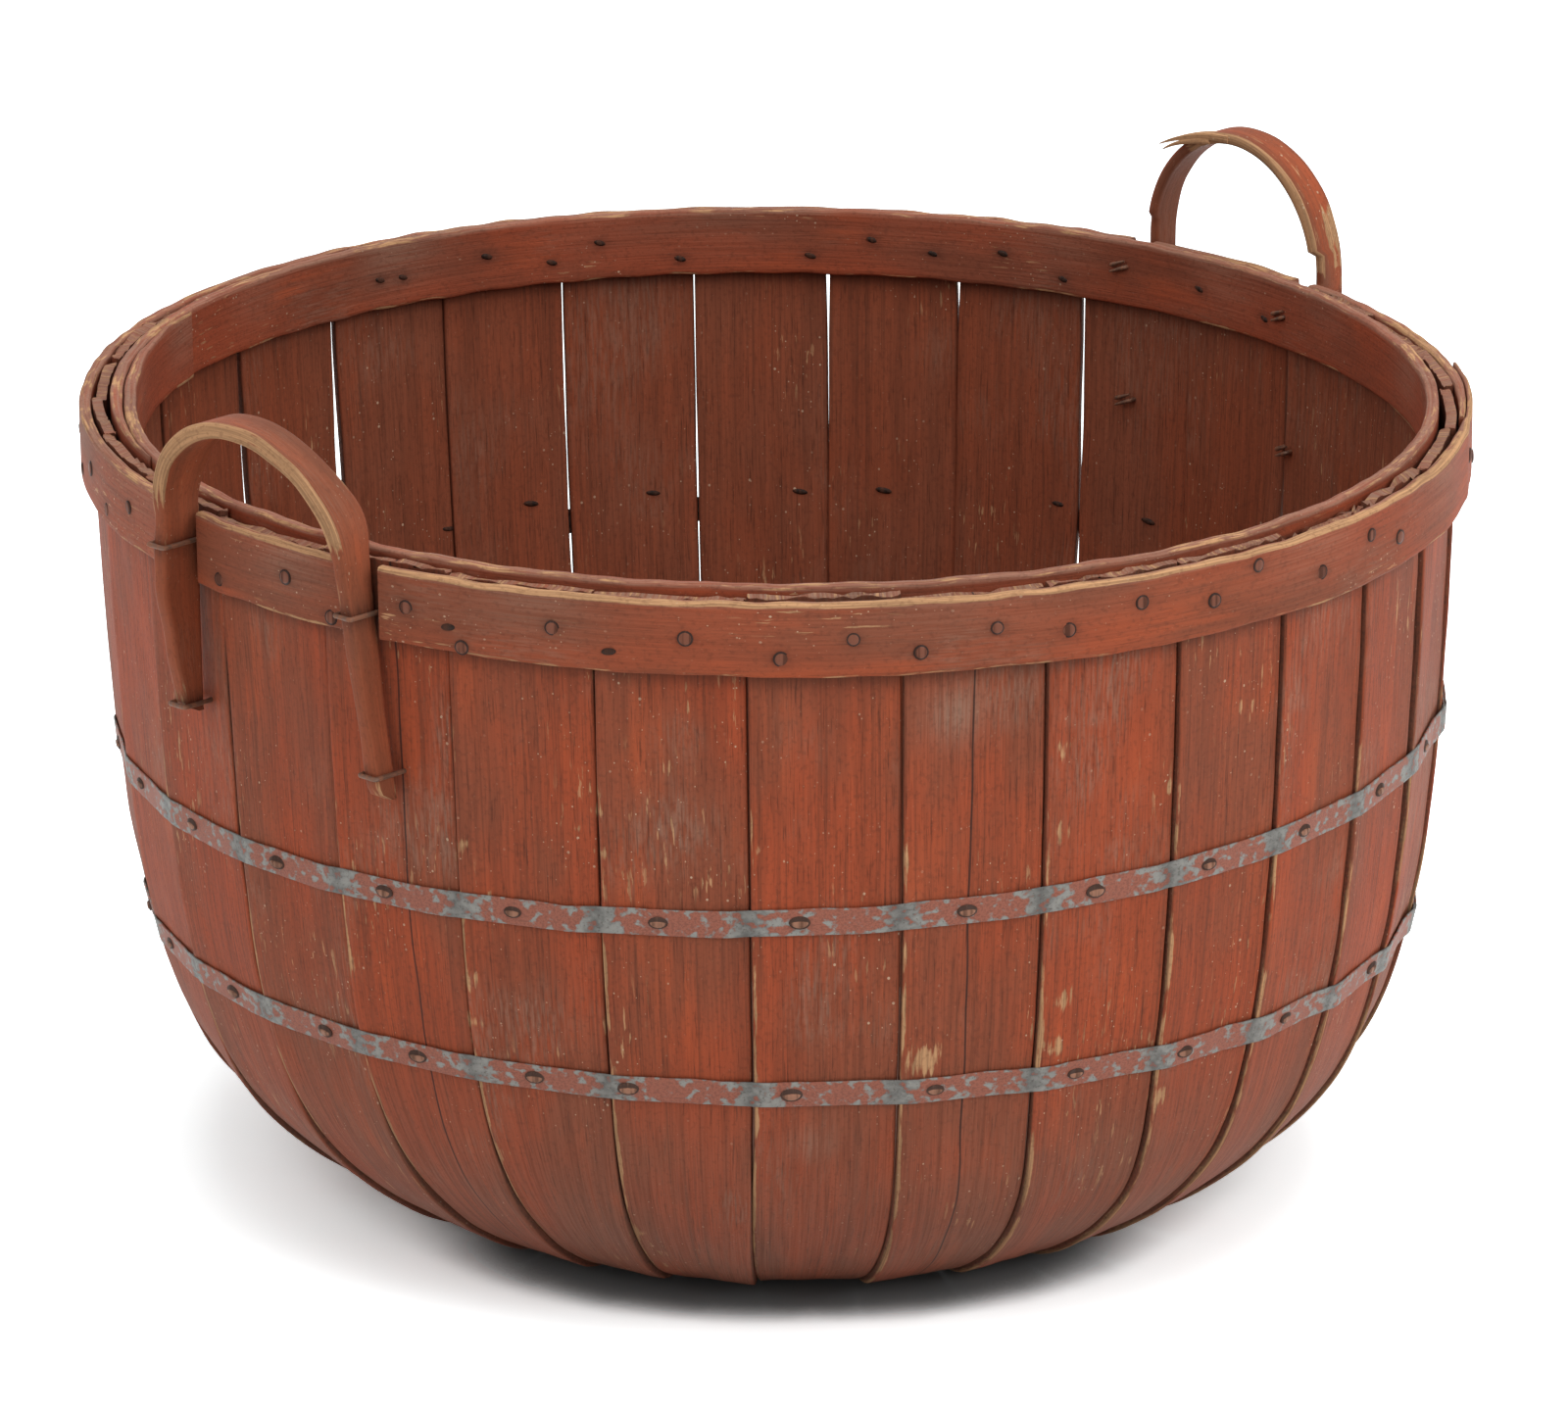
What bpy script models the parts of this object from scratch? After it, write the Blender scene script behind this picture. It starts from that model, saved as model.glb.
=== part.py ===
"""Gathering basket: a round tub of thin bent staves with a rounded bottom.

Two bent rim hoops and two strap bands hold the staves, and two bent handles are stapled to the rim.
Units are metres and degrees, +Z is up, and the origin is under the middle of the bottom.
Angles run counter-clockwise seen from above, from the far handle at +X.
"""

import math

import bmesh
import bpy
import numpy as np
from mathutils import Vector

# Whole basket
RIM_RADIUS = 0.3288         # outer face of the outer hoop, at its mean
RIM_TOP = 0.3703            # top edge of the outer hoop
FIT_GAP = 0.0003            # clearance between pieces that touch
OVAL_SHARE = 0.034          # how far the old basket has gone out of round
OVAL_TURN = 69.3            # direction of its wide axis
ARC_STEP = 4.0              # one facet of a hoop

# Staves
STAVE_COUNT = 30
STAVE_THICKNESS = 0.0048
SEAM_GAP = 0.0018
FIRST_SEAM = 145.8
EDGE_STEP = 0.0020          # a stave's left edge stands this far out from its neighbour
TURN_STEP = 0.0026          # the same at the bottom turn, away from the front middle stave
FRONT_STAVE = 6             # the stave that lies lowest at the bottom turn
TOP_WANDER = 0.0012         # how unevenly the stave tops were sawn
WANDER_TURN = 137.5         # step of that wander from one stave to the next
TONE_SHARE = 0.08           # how far the paint's tone varies from stave to stave
TONE_TURN = 97.0            # step of that tone from one stave to the next
# Height as a share of RIM_TOP and radius as a share of the stave radius, from foot to top
PROFILE_SHARES = (
    (0.0, 0.366), (0.0, 0.553), (0.0068, 0.604), (0.0243, 0.652), (0.054, 0.7125),
    (0.0972, 0.780), (0.162, 0.8535), (0.2295, 0.901), (0.3106, 0.9333), (0.4321, 0.964),
    (0.5941, 0.984), (0.7697, 0.9948), (0.9082, 1.0), (1.0, 1.0))
# Heights, as shares of RIM_TOP, where the edge step changes: none at the foot, then that of
# the bottom turn, then that of the wall
STEP_HEIGHT_SHARES = (0.0, 0.02, 0.16, 0.32, 1.0)
# Width of each stave against the mean width, in order from the first seam
WIDTH_SHARES = (
    1.10, 1.10, 1.10, 1.03, 1.03, 0.99, 0.97, 0.93, 0.94, 0.88, 0.90, 0.92, 1.00, 1.00, 0.99,
    1.00, 1.08, 1.08, 1.01, 1.04, 1.00, 0.99, 0.98, 0.94, 0.97, 1.00, 1.13, 0.96, 0.97, 0.96)
# How far some seams wander at the bottom turn, as a share of the mean stave width
DRIFT_SHARES = {2: 0.16, 3: 0.19, 4: 0.11, 5: -0.05, 6: -0.08, 7: 0.05, 8: 0.14, 9: 0.18, 10: 0.03}
DRIFT_HEIGHT_SHARE = 0.4    # the wander starts below this share of the height

# Rim hoops
HOOP_HEIGHT = 0.034
OUTER_HOOP_THICKNESS = 0.0056
INNER_HOOP_THICKNESS = 0.0060
INNER_HOOP_RISE = 0.0035    # the inner hoop stands this far above the outer one
INNER_LAP_START = 108.0     # tip of the inner layer where the inner hoop laps itself
INNER_LAP_SPAN = 48.0
INNER_TAPER_SPAN = 20.0
INNER_TIP_SHARE = 0.3       # thickness left at the hoop's shaved tips
OUTER_LAP_START = -56.0     # tip of the right rear piece, under the front piece
OUTER_LAP_FULL = -44.0      # there the right rear piece has its whole thickness again
OUTER_LAP_END = -40.0       # tip of the front piece
OUTER_TIP_SHARE = 0.45
FRONT_TIP_SHARE = 0.35

# Nails: low round heads, those of a hoop in two staggered rows
NAIL_HEAD_RADIUS = 0.0032
NAIL_HEAD_HEIGHT = 0.0008
NAIL_HEAD_SIDES = 8
NAIL_HEAD_TOP_SHARE = 0.8   # width of a head's flat top against its rim
HOOP_NAIL_PAIRS = 30
HOOP_NAIL_PLACE_SHARES = (0.17, 0.67)   # upper and lower nail of a pair, along their pitch
HOOP_NAIL_STAGGER = 0.005   # each row lies this far from their middle line
HOOP_NAIL_DROP = 0.004      # that line lies this far below the hoop's middle
BAND_NAIL_SHARE = 0.38      # place of a band's nail across its stave

# Strap bands
BAND_WIDTH = 0.0125
BAND_THICKNESS = 0.0008
BAND_GAP = 0.0004
BAND_BRIDGE_SHARE = 0.84    # past this share of a stave the strap rises to the next stave's edge
BAND_LAP_SEAM = 13          # the seam where the strap starts and laps itself
BAND_LAP_SHARE = 0.60       # the lap covers this share of that stave
UPPER_BAND_HEIGHT = 0.219
UPPER_BAND_SLOPE_SHARE = 0.0332
UPPER_BAND_SLOPE_TURN = -57.0
LOWER_BAND_HEIGHT = 0.1284
LOWER_BAND_SLOPE_SHARE = 0.0319
LOWER_BAND_SLOPE_TURN = -131.6

# Handles: bent strips that arch over the rim in a plane tangent to it
SHOULDER_RISE = 0.0105      # from the rim up to here the strip is a narrower neck
SHOULDER_STEP = 0.005
SHOULDER_SLOPE = 0.0012     # height of a slanted shoulder
LEG_TIP_WIDTH = 0.011
LEG_STEPS = 8
ARCH_STEPS = 14
NEAR_TURN = 179.8
NEAR_STAND_OUT = 0.0096     # how far its outer edge stands out from the outer hoop, at the rim
NEAR_SPAN = 0.116           # between the middles of its legs, at the rim
NEAR_RISE = 0.0532          # top of the arch over the outer hoop
NEAR_WIDTH = 0.027
NEAR_THICKNESS = 0.0075
NEAR_LEAN_SHARE = 0.12      # how far the arch leans outwards
NEAR_SWAY_SHARE = -0.07     # how far the arch sways to its right
NEAR_NARROW_SHARE = 0.24    # how far the right half of the arch is worn narrower
FAR_TURN = -0.9
FAR_STAND_OUT = 0.0168
FAR_SPAN = 0.109
FAR_RISE = 0.0615
FAR_WIDTH = 0.020
FAR_THICKNESS = 0.0055
FAR_LEAN_SHARE = 0.02
FAR_SWAY_SHARE = 0.03
FAR_NARROW_SHARE = 0.0
# Each leg's length and the places of its taper's start and upper staple, all from the top of
# the outer hoop down, of its lower staple, from its tip up, and how far it splays downwards
NEAR_RIGHT_LEG = {"length": 0.108, "taper": 0.004, "upper": 0.0225, "lower": 0.012, "splay_share": 0.08}
NEAR_LEFT_LEG = {"length": 0.096, "taper": 0.034, "upper": 0.014, "lower": 0.004, "splay_share": 0.05}
FAR_RIGHT_LEG = {"length": 0.089, "taper": 0.034, "upper": 0.010, "lower": 0.010, "splay_share": 0.0}
FAR_LEFT_LEG = {"length": 0.093, "taper": 0.034, "upper": 0.014, "lower": 0.010, "splay_share": 0.0}

# Staples: wire round a handle's leg, through the rim, with both ends bent over inside
WIRE_RADIUS = 0.0011
WIRE_BEND = 0.0008
CLENCH_LENGTH = 0.009
CLENCH_SHARES = (0.93, 0.36)    # how far a bent-over end runs sideways and up or down
DRILL_GAP = 0.0003          # clearance round a wire in its hole
DRILL_SIDES = 8
HOOP_END_GAP = 0.0010       # between a hoop end and the wire beside it

# Bottom board
BOARD_THICKNESS = 0.012
BOARD_SIDES = 64
BOARD_GAP = 0.003           # round the board, where the feet turn up

# Finishes
PAINT = (0.30, 0.062, 0.030)
INNER_PAINT = (0.20, 0.040, 0.020)
PAINT_ROUGHNESS = 0.7
ZINC = (0.30, 0.31, 0.33)
ZINC_ROUGHNESS = 0.5
ZINC_METALLIC = 0.8
RUST = (0.07, 0.045, 0.035)
RUST_ROUGHNESS = 0.6
RUST_METALLIC = 0.7

STAVE_RADIUS = RIM_RADIUS - OUTER_HOOP_THICKNESS - FIT_GAP - EDGE_STEP / 2
PROFILE_HEIGHTS = np.array([row[0] for row in PROFILE_SHARES]) * RIM_TOP
PROFILE_RADII = np.array([row[1] for row in PROFILE_SHARES]) * STAVE_RADIUS


def clear_scene():
    for thing in list(bpy.data.objects):
        bpy.data.objects.remove(thing, do_unlink=True)


def make_collection(name):
    group = bpy.data.collections.new(name)
    bpy.context.scene.collection.children.link(group)
    return group


def make_material(name, colour, roughness, metallic=0.0):
    material = bpy.data.materials.new(name)
    material.use_nodes = True
    shader = material.node_tree.nodes["Principled BSDF"]
    shader.inputs["Base Color"].default_value = (*colour, 1.0)
    shader.inputs["Roughness"].default_value = roughness
    shader.inputs["Metallic"].default_value = metallic
    material.diffuse_color = (*colour, 1.0)
    return material


def add_object(name, mesh, group, colour, roughness, metallic=0.0):
    thing = bpy.data.objects.new(name, mesh)
    group.objects.link(thing)
    mesh.materials.append(make_material(name, colour, roughness, metallic))
    return thing


def oval(angle):
    """Radius factor of the oval basket in one direction."""
    return 1.0 + OVAL_SHARE * np.cos(2 * np.radians(np.asarray(angle) - OVAL_TURN))


def wall_radius(height):
    """Outer radius of the staves' edges at a height, before the oval."""
    return np.interp(height, PROFILE_HEIGHTS, PROFILE_RADII)


def polar(angle, radius, height):
    """Points from angle, radius and height, with the last axis x, y, z."""
    turn = np.radians(angle)
    parts = np.broadcast_arrays(radius * np.cos(turn), radius * np.sin(turn), height)
    return np.stack(parts, axis=-1)


def grid_sheet(name, points):
    """An open sheet: a grid whose vertices move to points, an array of rows by columns."""
    rows, columns = points.shape[:2]
    sheet = bmesh.new()
    bmesh.ops.create_grid(sheet, x_segments=columns - 1, y_segments=rows - 1, size=1.0)
    for vertex in sheet.verts:
        column = round((vertex.co.x + 1.0) / 2.0 * (columns - 1))
        row = round((vertex.co.y + 1.0) / 2.0 * (rows - 1))
        vertex.co = points[row, column]
    mesh = bpy.data.meshes.new(name)
    sheet.to_mesh(mesh)
    sheet.free()
    return mesh


def solidify(thing, thickness, offset, shares=None, points=None):
    """Give a sheet its thickness; shares, one for each column, thin it towards shaved tips."""
    shell = thing.modifiers.new("thickness", 'SOLIDIFY')
    shell.thickness = thickness
    shell.offset = offset
    shell.use_even_offset = True
    if shares is not None:
        group = thing.vertex_groups.new(name="thickness")
        for column, share in enumerate(shares):
            for row in range(points.shape[0]):
                group.add([row * len(shares) + column], float(share), 'REPLACE')
        shell.vertex_group = group.name


def seam_angles():
    """Directions of the seams at the top, one more than there are staves."""
    shares = np.array([WIDTH_SHARES[i % len(WIDTH_SHARES)] for i in range(STAVE_COUNT)])
    widths = 360.0 * shares / shares.sum()
    return FIRST_SEAM + np.concatenate([[0.0], np.cumsum(widths)])


SEAMS = seam_angles()
WIDEST = float(np.diff(SEAMS).max())


def seam_line(index):
    """Direction of one seam at each height of the profile: it wanders at the bottom turn."""
    drift = DRIFT_SHARES.get(index % STAVE_COUNT, 0.0) * 360.0 / STAVE_COUNT
    start = DRIFT_HEIGHT_SHARE * RIM_TOP
    low = np.clip(1.0 - PROFILE_HEIGHTS / start, 0.0, 1.0)
    return SEAMS[index] + drift * low * low * (3.0 - 2.0 * low)


def edge_steps(index):
    """How far each edge of a stave stands out at each height, left then right."""
    place = (index - FRONT_STAVE + STAVE_COUNT // 2) % STAVE_COUNT - STAVE_COUNT // 2
    if place == 0:
        turn = (-TURN_STEP / 2, -TURN_STEP / 2)
    elif abs(place) == STAVE_COUNT // 2:
        turn = (TURN_STEP / 2, TURN_STEP / 2)
    else:
        side = math.copysign(TURN_STEP / 2, place)
        turn = (side, -side)
    wall = (EDGE_STEP / 2, -EDGE_STEP / 2)
    shares = PROFILE_HEIGHTS / RIM_TOP
    return [np.interp(shares, STEP_HEIGHT_SHARES, (0.0, low, low, high, high))
            for low, high in zip(turn, wall)]


def stave_points(index):
    """Outer face of a stave: flat across, bent along the profile, foot first."""
    slope_z = np.gradient(PROFILE_HEIGHTS)
    slope_r = np.gradient(PROFILE_RADII)
    length = np.hypot(slope_z, slope_r)
    heights = PROFILE_HEIGHTS.copy()
    heights[-1] += TOP_WANDER * math.sin(math.radians(WANDER_TURN * index))
    edges = []
    for side, step in enumerate(edge_steps(index)):
        radius = PROFILE_RADII + step * slope_z / length
        half_gap = np.degrees(SEAM_GAP / 2 / radius)
        angle = seam_line(index + side) + (half_gap if side == 0 else -half_gap)
        edges.append(polar(angle, radius * oval(angle), heights - step * slope_r / length))
    return np.stack(edges, axis=1)


def make_stave(index, group):
    name = f"stave_{index + 1:02d}"
    tone = 1.0 + TONE_SHARE * math.sin(math.radians(TONE_TURN * index))
    mesh = grid_sheet(name, stave_points(index))
    stave = add_object(name, mesh, group, [tone * part for part in PAINT], PAINT_ROUGHNESS)
    solidify(stave, STAVE_THICKNESS, -1.0)
    return stave


def arc_angles(start, end):
    """Facet corners of a hoop: both ends, and each whole step between them."""
    first = math.floor(start / ARC_STEP + 0.5) + 1
    last = math.ceil(end / ARC_STEP - 0.5) - 1
    return np.array([start, *(np.arange(first, last + 1) * ARC_STEP), end])


def make_inner_hoop(group):
    """One strip inside the stave tops, its shaved ends lapped past each other."""
    end = INNER_LAP_START + 360.0 + INNER_LAP_SPAN
    angle = arc_angles(INNER_LAP_START, end)
    tip = INNER_LAP_START + INNER_LAP_SPAN
    deep = INNER_HOOP_THICKNESS + FIT_GAP
    shaved = INNER_TIP_SHARE * INNER_HOOP_THICKNESS + FIT_GAP
    depth = np.interp(angle, (INNER_LAP_START, tip - INNER_TAPER_SPAN, tip, tip + ARC_STEP),
                      (deep, deep, shaved, 0.0))
    share = np.interp(angle, (INNER_LAP_START, INNER_LAP_START + INNER_TAPER_SPAN,
                              end - INNER_TAPER_SPAN, end),
                      (INNER_TIP_SHARE, 1.0, 1.0, INNER_TIP_SHARE))
    low = RIM_TOP + INNER_HOOP_RISE - HOOP_HEIGHT
    radius = inner_hoop_radius(angle) - depth
    points = np.stack([polar(angle, radius, low), polar(angle, radius, low + HOOP_HEIGHT)])
    mesh = grid_sheet("inner_hoop", points)
    hoop = add_object("inner_hoop", mesh, group, INNER_PAINT, PAINT_ROUGHNESS)
    solidify(hoop, INNER_HOOP_THICKNESS, -1.0, share, points)
    return hoop


def inner_hoop_radius(angle):
    """Outer face of the inner hoop: it touches the middle of the widest flat stave."""
    low = RIM_TOP + INNER_HOOP_RISE - HOOP_HEIGHT
    chord = wall_radius(low) * oval(angle) * math.cos(math.radians(WIDEST / 2))
    return chord - EDGE_STEP / 4 - STAVE_THICKNESS - FIT_GAP


def outer_hoop_radius(angle):
    """Inner face of the outer hoop: it touches the staves' proud edges."""
    return wall_radius(RIM_TOP) * oval(angle) + EDGE_STEP / 2 + FIT_GAP


def hoop_nail_places():
    """Direction and height of each nail of the outer hoop."""
    pitch = 360.0 / HOOP_NAIL_PAIRS
    middle = RIM_TOP - HOOP_HEIGHT / 2 - HOOP_NAIL_DROP
    upper, lower = HOOP_NAIL_PLACE_SHARES
    for pair in range(HOOP_NAIL_PAIRS):
        yield (pair + upper) * pitch, middle + HOOP_NAIL_STAGGER
        yield (pair + lower) * pitch, middle - HOOP_NAIL_STAGGER


def make_heads(name, places, depth, group):
    """Nail heads as one hidden mesh, each sunk by depth below its place along its axis."""
    heads = bmesh.new()
    for place, axis in places:
        turn = axis.to_track_quat('Z', 'Y').to_matrix().to_4x4()
        turn.translation = place + axis * (NAIL_HEAD_HEIGHT - depth) / 2
        bmesh.ops.create_cone(heads, cap_ends=True, segments=NAIL_HEAD_SIDES, matrix=turn,
                              radius1=NAIL_HEAD_RADIUS,
                              radius2=NAIL_HEAD_TOP_SHARE * NAIL_HEAD_RADIUS,
                              depth=NAIL_HEAD_HEIGHT + depth)
    mesh = bpy.data.meshes.new(name)
    heads.to_mesh(mesh)
    heads.free()
    return hidden_object(name, mesh, group)


def hidden_object(name, mesh, group):
    thing = bpy.data.objects.new(name, mesh)
    thing.hide_render = True
    thing.display_type = 'WIRE'
    group.objects.link(thing)
    return thing


def boolean(thing, other, operation):
    cut = thing.modifiers.new(other.name, 'BOOLEAN')
    cut.operation = operation
    cut.object = other
    cut.solver = 'EXACT'


def make_outer_hoop(name, start, end, group, helpers, lift=None, share=None, bare=0.0):
    """A piece of the outer hoop with its nail heads, but none on its first bare degrees."""
    angle = arc_angles(start, end)
    rise = np.zeros_like(angle) if lift is None else lift(angle)
    shares = np.ones_like(angle) if share is None else share(angle)
    radius = outer_hoop_radius(angle) + rise
    low = RIM_TOP - HOOP_HEIGHT
    points = np.stack([polar(angle, radius, low), polar(angle, radius, RIM_TOP)])
    mesh = grid_sheet(name, points)
    hoop = add_object(name, mesh, group, PAINT, PAINT_ROUGHNESS)
    solidify(hoop, OUTER_HOOP_THICKNESS, 1.0, shares, points)
    outside = radius + OUTER_HOOP_THICKNESS * shares
    margin = np.degrees(2 * NAIL_HEAD_RADIUS / RIM_RADIUS)
    places = []
    for nail, height in hoop_nail_places():
        turned = start + (nail - start) % 360.0
        if start + bare + margin < turned < end - margin:
            face = np.interp(turned, angle, outside)
            place = polar(turned, face, height)
            axis = polar(turned, 1.0, 0.0)
            places.append((Vector(place), Vector(axis)))
    if places:
        heads = make_heads(name + "_nails", places, NAIL_HEAD_HEIGHT, helpers)
        boolean(hoop, heads, 'UNION')
    return hoop


def edge_point(index, side, height):
    """A point of a stave's outer edge at one height."""
    line = stave_points(index)[1:, side]
    return np.array([np.interp(height, line[:, 2], line[:, axis]) for axis in range(3)])


def strap_column(index, share, middle, lift):
    """Lower and upper point of a strap's inner face, at a share of one stave's width."""
    column = []
    for height in (middle - BAND_WIDTH / 2, middle + BAND_WIDTH / 2):
        left = edge_point(index, 0, height)
        across = edge_point(index, 1, height) - left
        outward = np.array([across[1], -across[0], 0.0])
        outward /= np.linalg.norm(outward)
        column.append(left + share * across + (BAND_GAP + lift) * outward)
    return column


def make_band(name, height, slope_share, slope_turn, group, helpers):
    """A strap that follows the stepped staves and laps itself, with a nail for each stave."""
    def middle(index):
        turn = math.radians((SEAMS[index] + SEAMS[index + 1]) / 2 - slope_turn)
        return height + slope_share * float(wall_radius(height)) * math.cos(turn)

    columns = []
    places = []
    over = BAND_THICKNESS + FIT_GAP
    for step in range(STAVE_COUNT + 1):
        index = (BAND_LAP_SEAM + step) % STAVE_COUNT
        lift = over if step == STAVE_COUNT else 0.0
        last = BAND_LAP_SHARE if step == STAVE_COUNT else BAND_BRIDGE_SHARE
        columns.append(strap_column(index, 0.0, middle(index), lift))
        columns.append(strap_column(index, last, middle(index), lift))
        if step > 0:
            (low_left, high_left), (low_right, high_right) = columns[-2:]
            share = BAND_NAIL_SHARE / last
            foot = (low_left + high_left) / 2 * (1.0 - share) + (low_right + high_right) / 2 * share
            axis = np.cross(low_right - low_left, high_left - low_left)
            axis /= np.linalg.norm(axis)
            places.append((Vector(foot + BAND_THICKNESS * axis), Vector(axis)))
    points = np.array(columns).transpose(1, 0, 2)
    band = add_object(name, grid_sheet(name, points), group, ZINC, ZINC_ROUGHNESS, ZINC_METALLIC)
    solidify(band, BAND_THICKNESS, 1.0)
    heads = make_heads(name + "_nails", places, BAND_THICKNESS / 2, helpers)
    boolean(band, heads, 'UNION')
    return band


class Handle:
    """Sizes of one handle in its own frame: +X outwards, +Y to its right seen from outside.

    Its reach is the place of its outer edge at the rim, from the middle of the basket.
    """

    def __init__(self, name, turn, stand_out, span, rise, width, thickness):
        self.name = name
        self.turn = turn
        self.reach = float(RIM_RADIUS * oval(turn)) + stand_out
        self.span = span
        self.rise = rise - thickness / 2
        self.width = width
        self.thickness = thickness

    def bend(self, lean, sway, narrow, right_leg, left_leg):
        """How the handle departs from a true arch on upright legs."""
        self.lean = lean
        self.sway = sway
        self.narrow = narrow
        self.legs = (right_leg, left_leg)

    def leg(self, side):
        return self.legs[0] if side > 0 else self.legs[1]

    def tip(self, side):
        return RIM_TOP - self.leg(side)["length"]

    def leg_middle(self, side, height):
        return side * (self.span / 2 + self.leg(side)["splay_share"] * (RIM_TOP - height))

    def wall(self, side, height):
        """Where the leg's inner edge bears on the staves."""
        across = self.leg_middle(side, height)
        turn = self.turn + math.degrees(math.atan2(across, self.reach))
        radius = float(wall_radius(height) * oval(turn)) + EDGE_STEP / 2 + FIT_GAP
        return math.sqrt(radius ** 2 - (abs(across) - self.thickness / 2) ** 2)

    def neck(self, side):
        """Inner edge of the strip between the rim and its shoulder."""
        return max(self.reach - self.width + SHOULDER_STEP, self.wall(side, RIM_TOP))

    def leg_edges(self, side, height):
        """Inner and outer edge of a leg below the rim: it tapers to its tip."""
        low = self.tip(side)
        top = RIM_TOP - self.leg(side)["taper"]
        share = min(max((height - low) / (top - low), 0.0), 1.0)
        outer = (self.wall(side, low) + LEG_TIP_WIDTH) * (1.0 - share) + self.reach * share
        return self.wall(side, height), outer

    def leg_stations(self, side):
        """The leg from its tip to the rim, where its neck starts."""
        taper = RIM_TOP - self.leg(side)["taper"]
        heights = [*np.linspace(self.tip(side), taper, LEG_STEPS), RIM_TOP]
        stations = [[(edge, self.leg_middle(side, height), height)
                     for edge in self.leg_edges(side, height)] for height in heights]
        across = self.leg_middle(side, RIM_TOP)
        stations.append([(edge, across, RIM_TOP + SHOULDER_SLOPE)
                         for edge in (self.neck(side), self.reach)])
        return stations

    def arch_stations(self):
        """The arch, a half ellipse over the rim, with a shoulder on its inner edge."""
        start = math.asin(SHOULDER_RISE / self.rise)
        ends = start + math.asin(SHOULDER_SLOPE / self.rise)
        turns = [start, *np.linspace(ends, math.pi - ends, ARCH_STEPS), math.pi - start]
        stations = []
        for step, turn in enumerate(turns):
            over = self.rise * math.sin(turn)
            across = self.span / 2 * math.cos(turn) + self.sway * over
            worn = self.narrow * math.sin(turn) * (1.0 + math.cos(turn))
            inner = self.reach - self.width * (1.0 - worn)
            if step == 0:
                inner = self.neck(1)
            elif step == len(turns) - 1:
                inner = self.neck(-1)
            stations.append([(edge + self.lean * over, across, RIM_TOP + over)
                             for edge in (inner, self.reach)])
        return stations

    def make(self, group):
        stations = self.leg_stations(1) + self.arch_stations() + self.leg_stations(-1)[::-1]
        mesh = grid_sheet(self.name, np.array(stations))
        handle = add_object(self.name, mesh, group, PAINT, PAINT_ROUGHNESS)
        handle.rotation_euler[2] = math.radians(self.turn)
        solidify(handle, self.thickness, 0.0)
        return handle

    def staple_height(self, side, upper):
        leg = self.leg(side)
        return RIM_TOP - leg["upper"] if upper else self.tip(side) + leg["lower"]

    def wire_offset(self):
        return self.thickness / 2 + FIT_GAP + WIRE_RADIUS

    def inside(self, across, height, upper):
        """Where a bent-over wire end lies against the inside of the hoop or stave."""
        turn = self.turn + math.degrees(math.atan2(across, self.reach))
        if upper:
            facet = math.cos(math.radians(ARC_STEP / 2))
            radius = (float(inner_hoop_radius(turn)) - INNER_HOOP_THICKNESS) * facet
        else:
            chord = math.cos(math.radians(WIDEST / 2))
            radius = float(wall_radius(height - CLENCH_LENGTH) * oval(turn)) * chord
            radius -= EDGE_STEP / 2 + STAVE_THICKNESS
        radius -= FIT_GAP + WIRE_RADIUS
        return math.sqrt(radius ** 2 - across ** 2)

    def make_staple(self, side, upper, group):
        """Wire path: one bent end, out through the rim, round the leg, back, the other end."""
        height = self.staple_height(side, upper)
        middle = self.leg_middle(side, height)
        offset = self.wire_offset()
        front = self.leg_edges(side, height + WIRE_RADIUS)[1] + FIT_GAP + WIRE_RADIUS
        path = []
        for way in (1, -1):
            start = middle + way * offset
            far = start - way * CLENCH_LENGTH * CLENCH_SHARES[0]
            tilt = way * CLENCH_LENGTH * CLENCH_SHARES[1]
            half = [(self.inside(far, height, upper), far, height + tilt),
                    (self.inside(start, height, upper), start, height),
                    (front - WIRE_BEND, start, height),
                    (front, start - way * WIRE_BEND, height)]
            path += half if way > 0 else half[::-1]
        hand = "right" if side > 0 else "left"
        place = "upper" if upper else "lower"
        name = f"{self.name}_{hand}_{place}_staple"
        curve = bpy.data.curves.new(name, 'CURVE')
        curve.dimensions = '3D'
        curve.bevel_depth = WIRE_RADIUS
        curve.bevel_resolution = 1
        curve.use_fill_caps = True
        spline = curve.splines.new('POLY')
        spline.points.add(len(path) - 1)
        for point, place in zip(spline.points, path):
            point.co = (*place, 1.0)
        staple = add_object(name, curve, group, RUST, RUST_ROUGHNESS, RUST_METALLIC)
        staple.rotation_euler[2] = math.radians(self.turn)
        return staple

    def wire_places(self):
        """Height and offset along Y of each wire that passes through the rim or a stave."""
        for side in (1, -1):
            for upper in (True, False):
                height = self.staple_height(side, upper)
                for way in (1, -1):
                    yield self.leg_middle(side, height) + way * self.wire_offset(), height, upper

    def make_drill(self, helpers):
        """All holes for this handle's staples, as one cutter."""
        drill = bmesh.new()
        for across, height, upper in self.wire_places():
            start = self.inside(across, height, upper) - CLENCH_LENGTH
            length = self.reach - start
            turn = Vector((1.0, 0.0, 0.0)).to_track_quat('Z', 'Y').to_matrix().to_4x4()
            turn.translation = (start + length / 2, across, height)
            bmesh.ops.create_cone(drill, cap_ends=True, segments=DRILL_SIDES, matrix=turn, depth=length,
                                  radius1=WIRE_RADIUS + DRILL_GAP, radius2=WIRE_RADIUS + DRILL_GAP)
        mesh = bpy.data.meshes.new(self.name + "_drill")
        drill.to_mesh(mesh)
        drill.free()
        cutter = hidden_object(self.name + "_drill", mesh, helpers)
        cutter.rotation_euler[2] = math.radians(self.turn)
        return cutter

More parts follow.
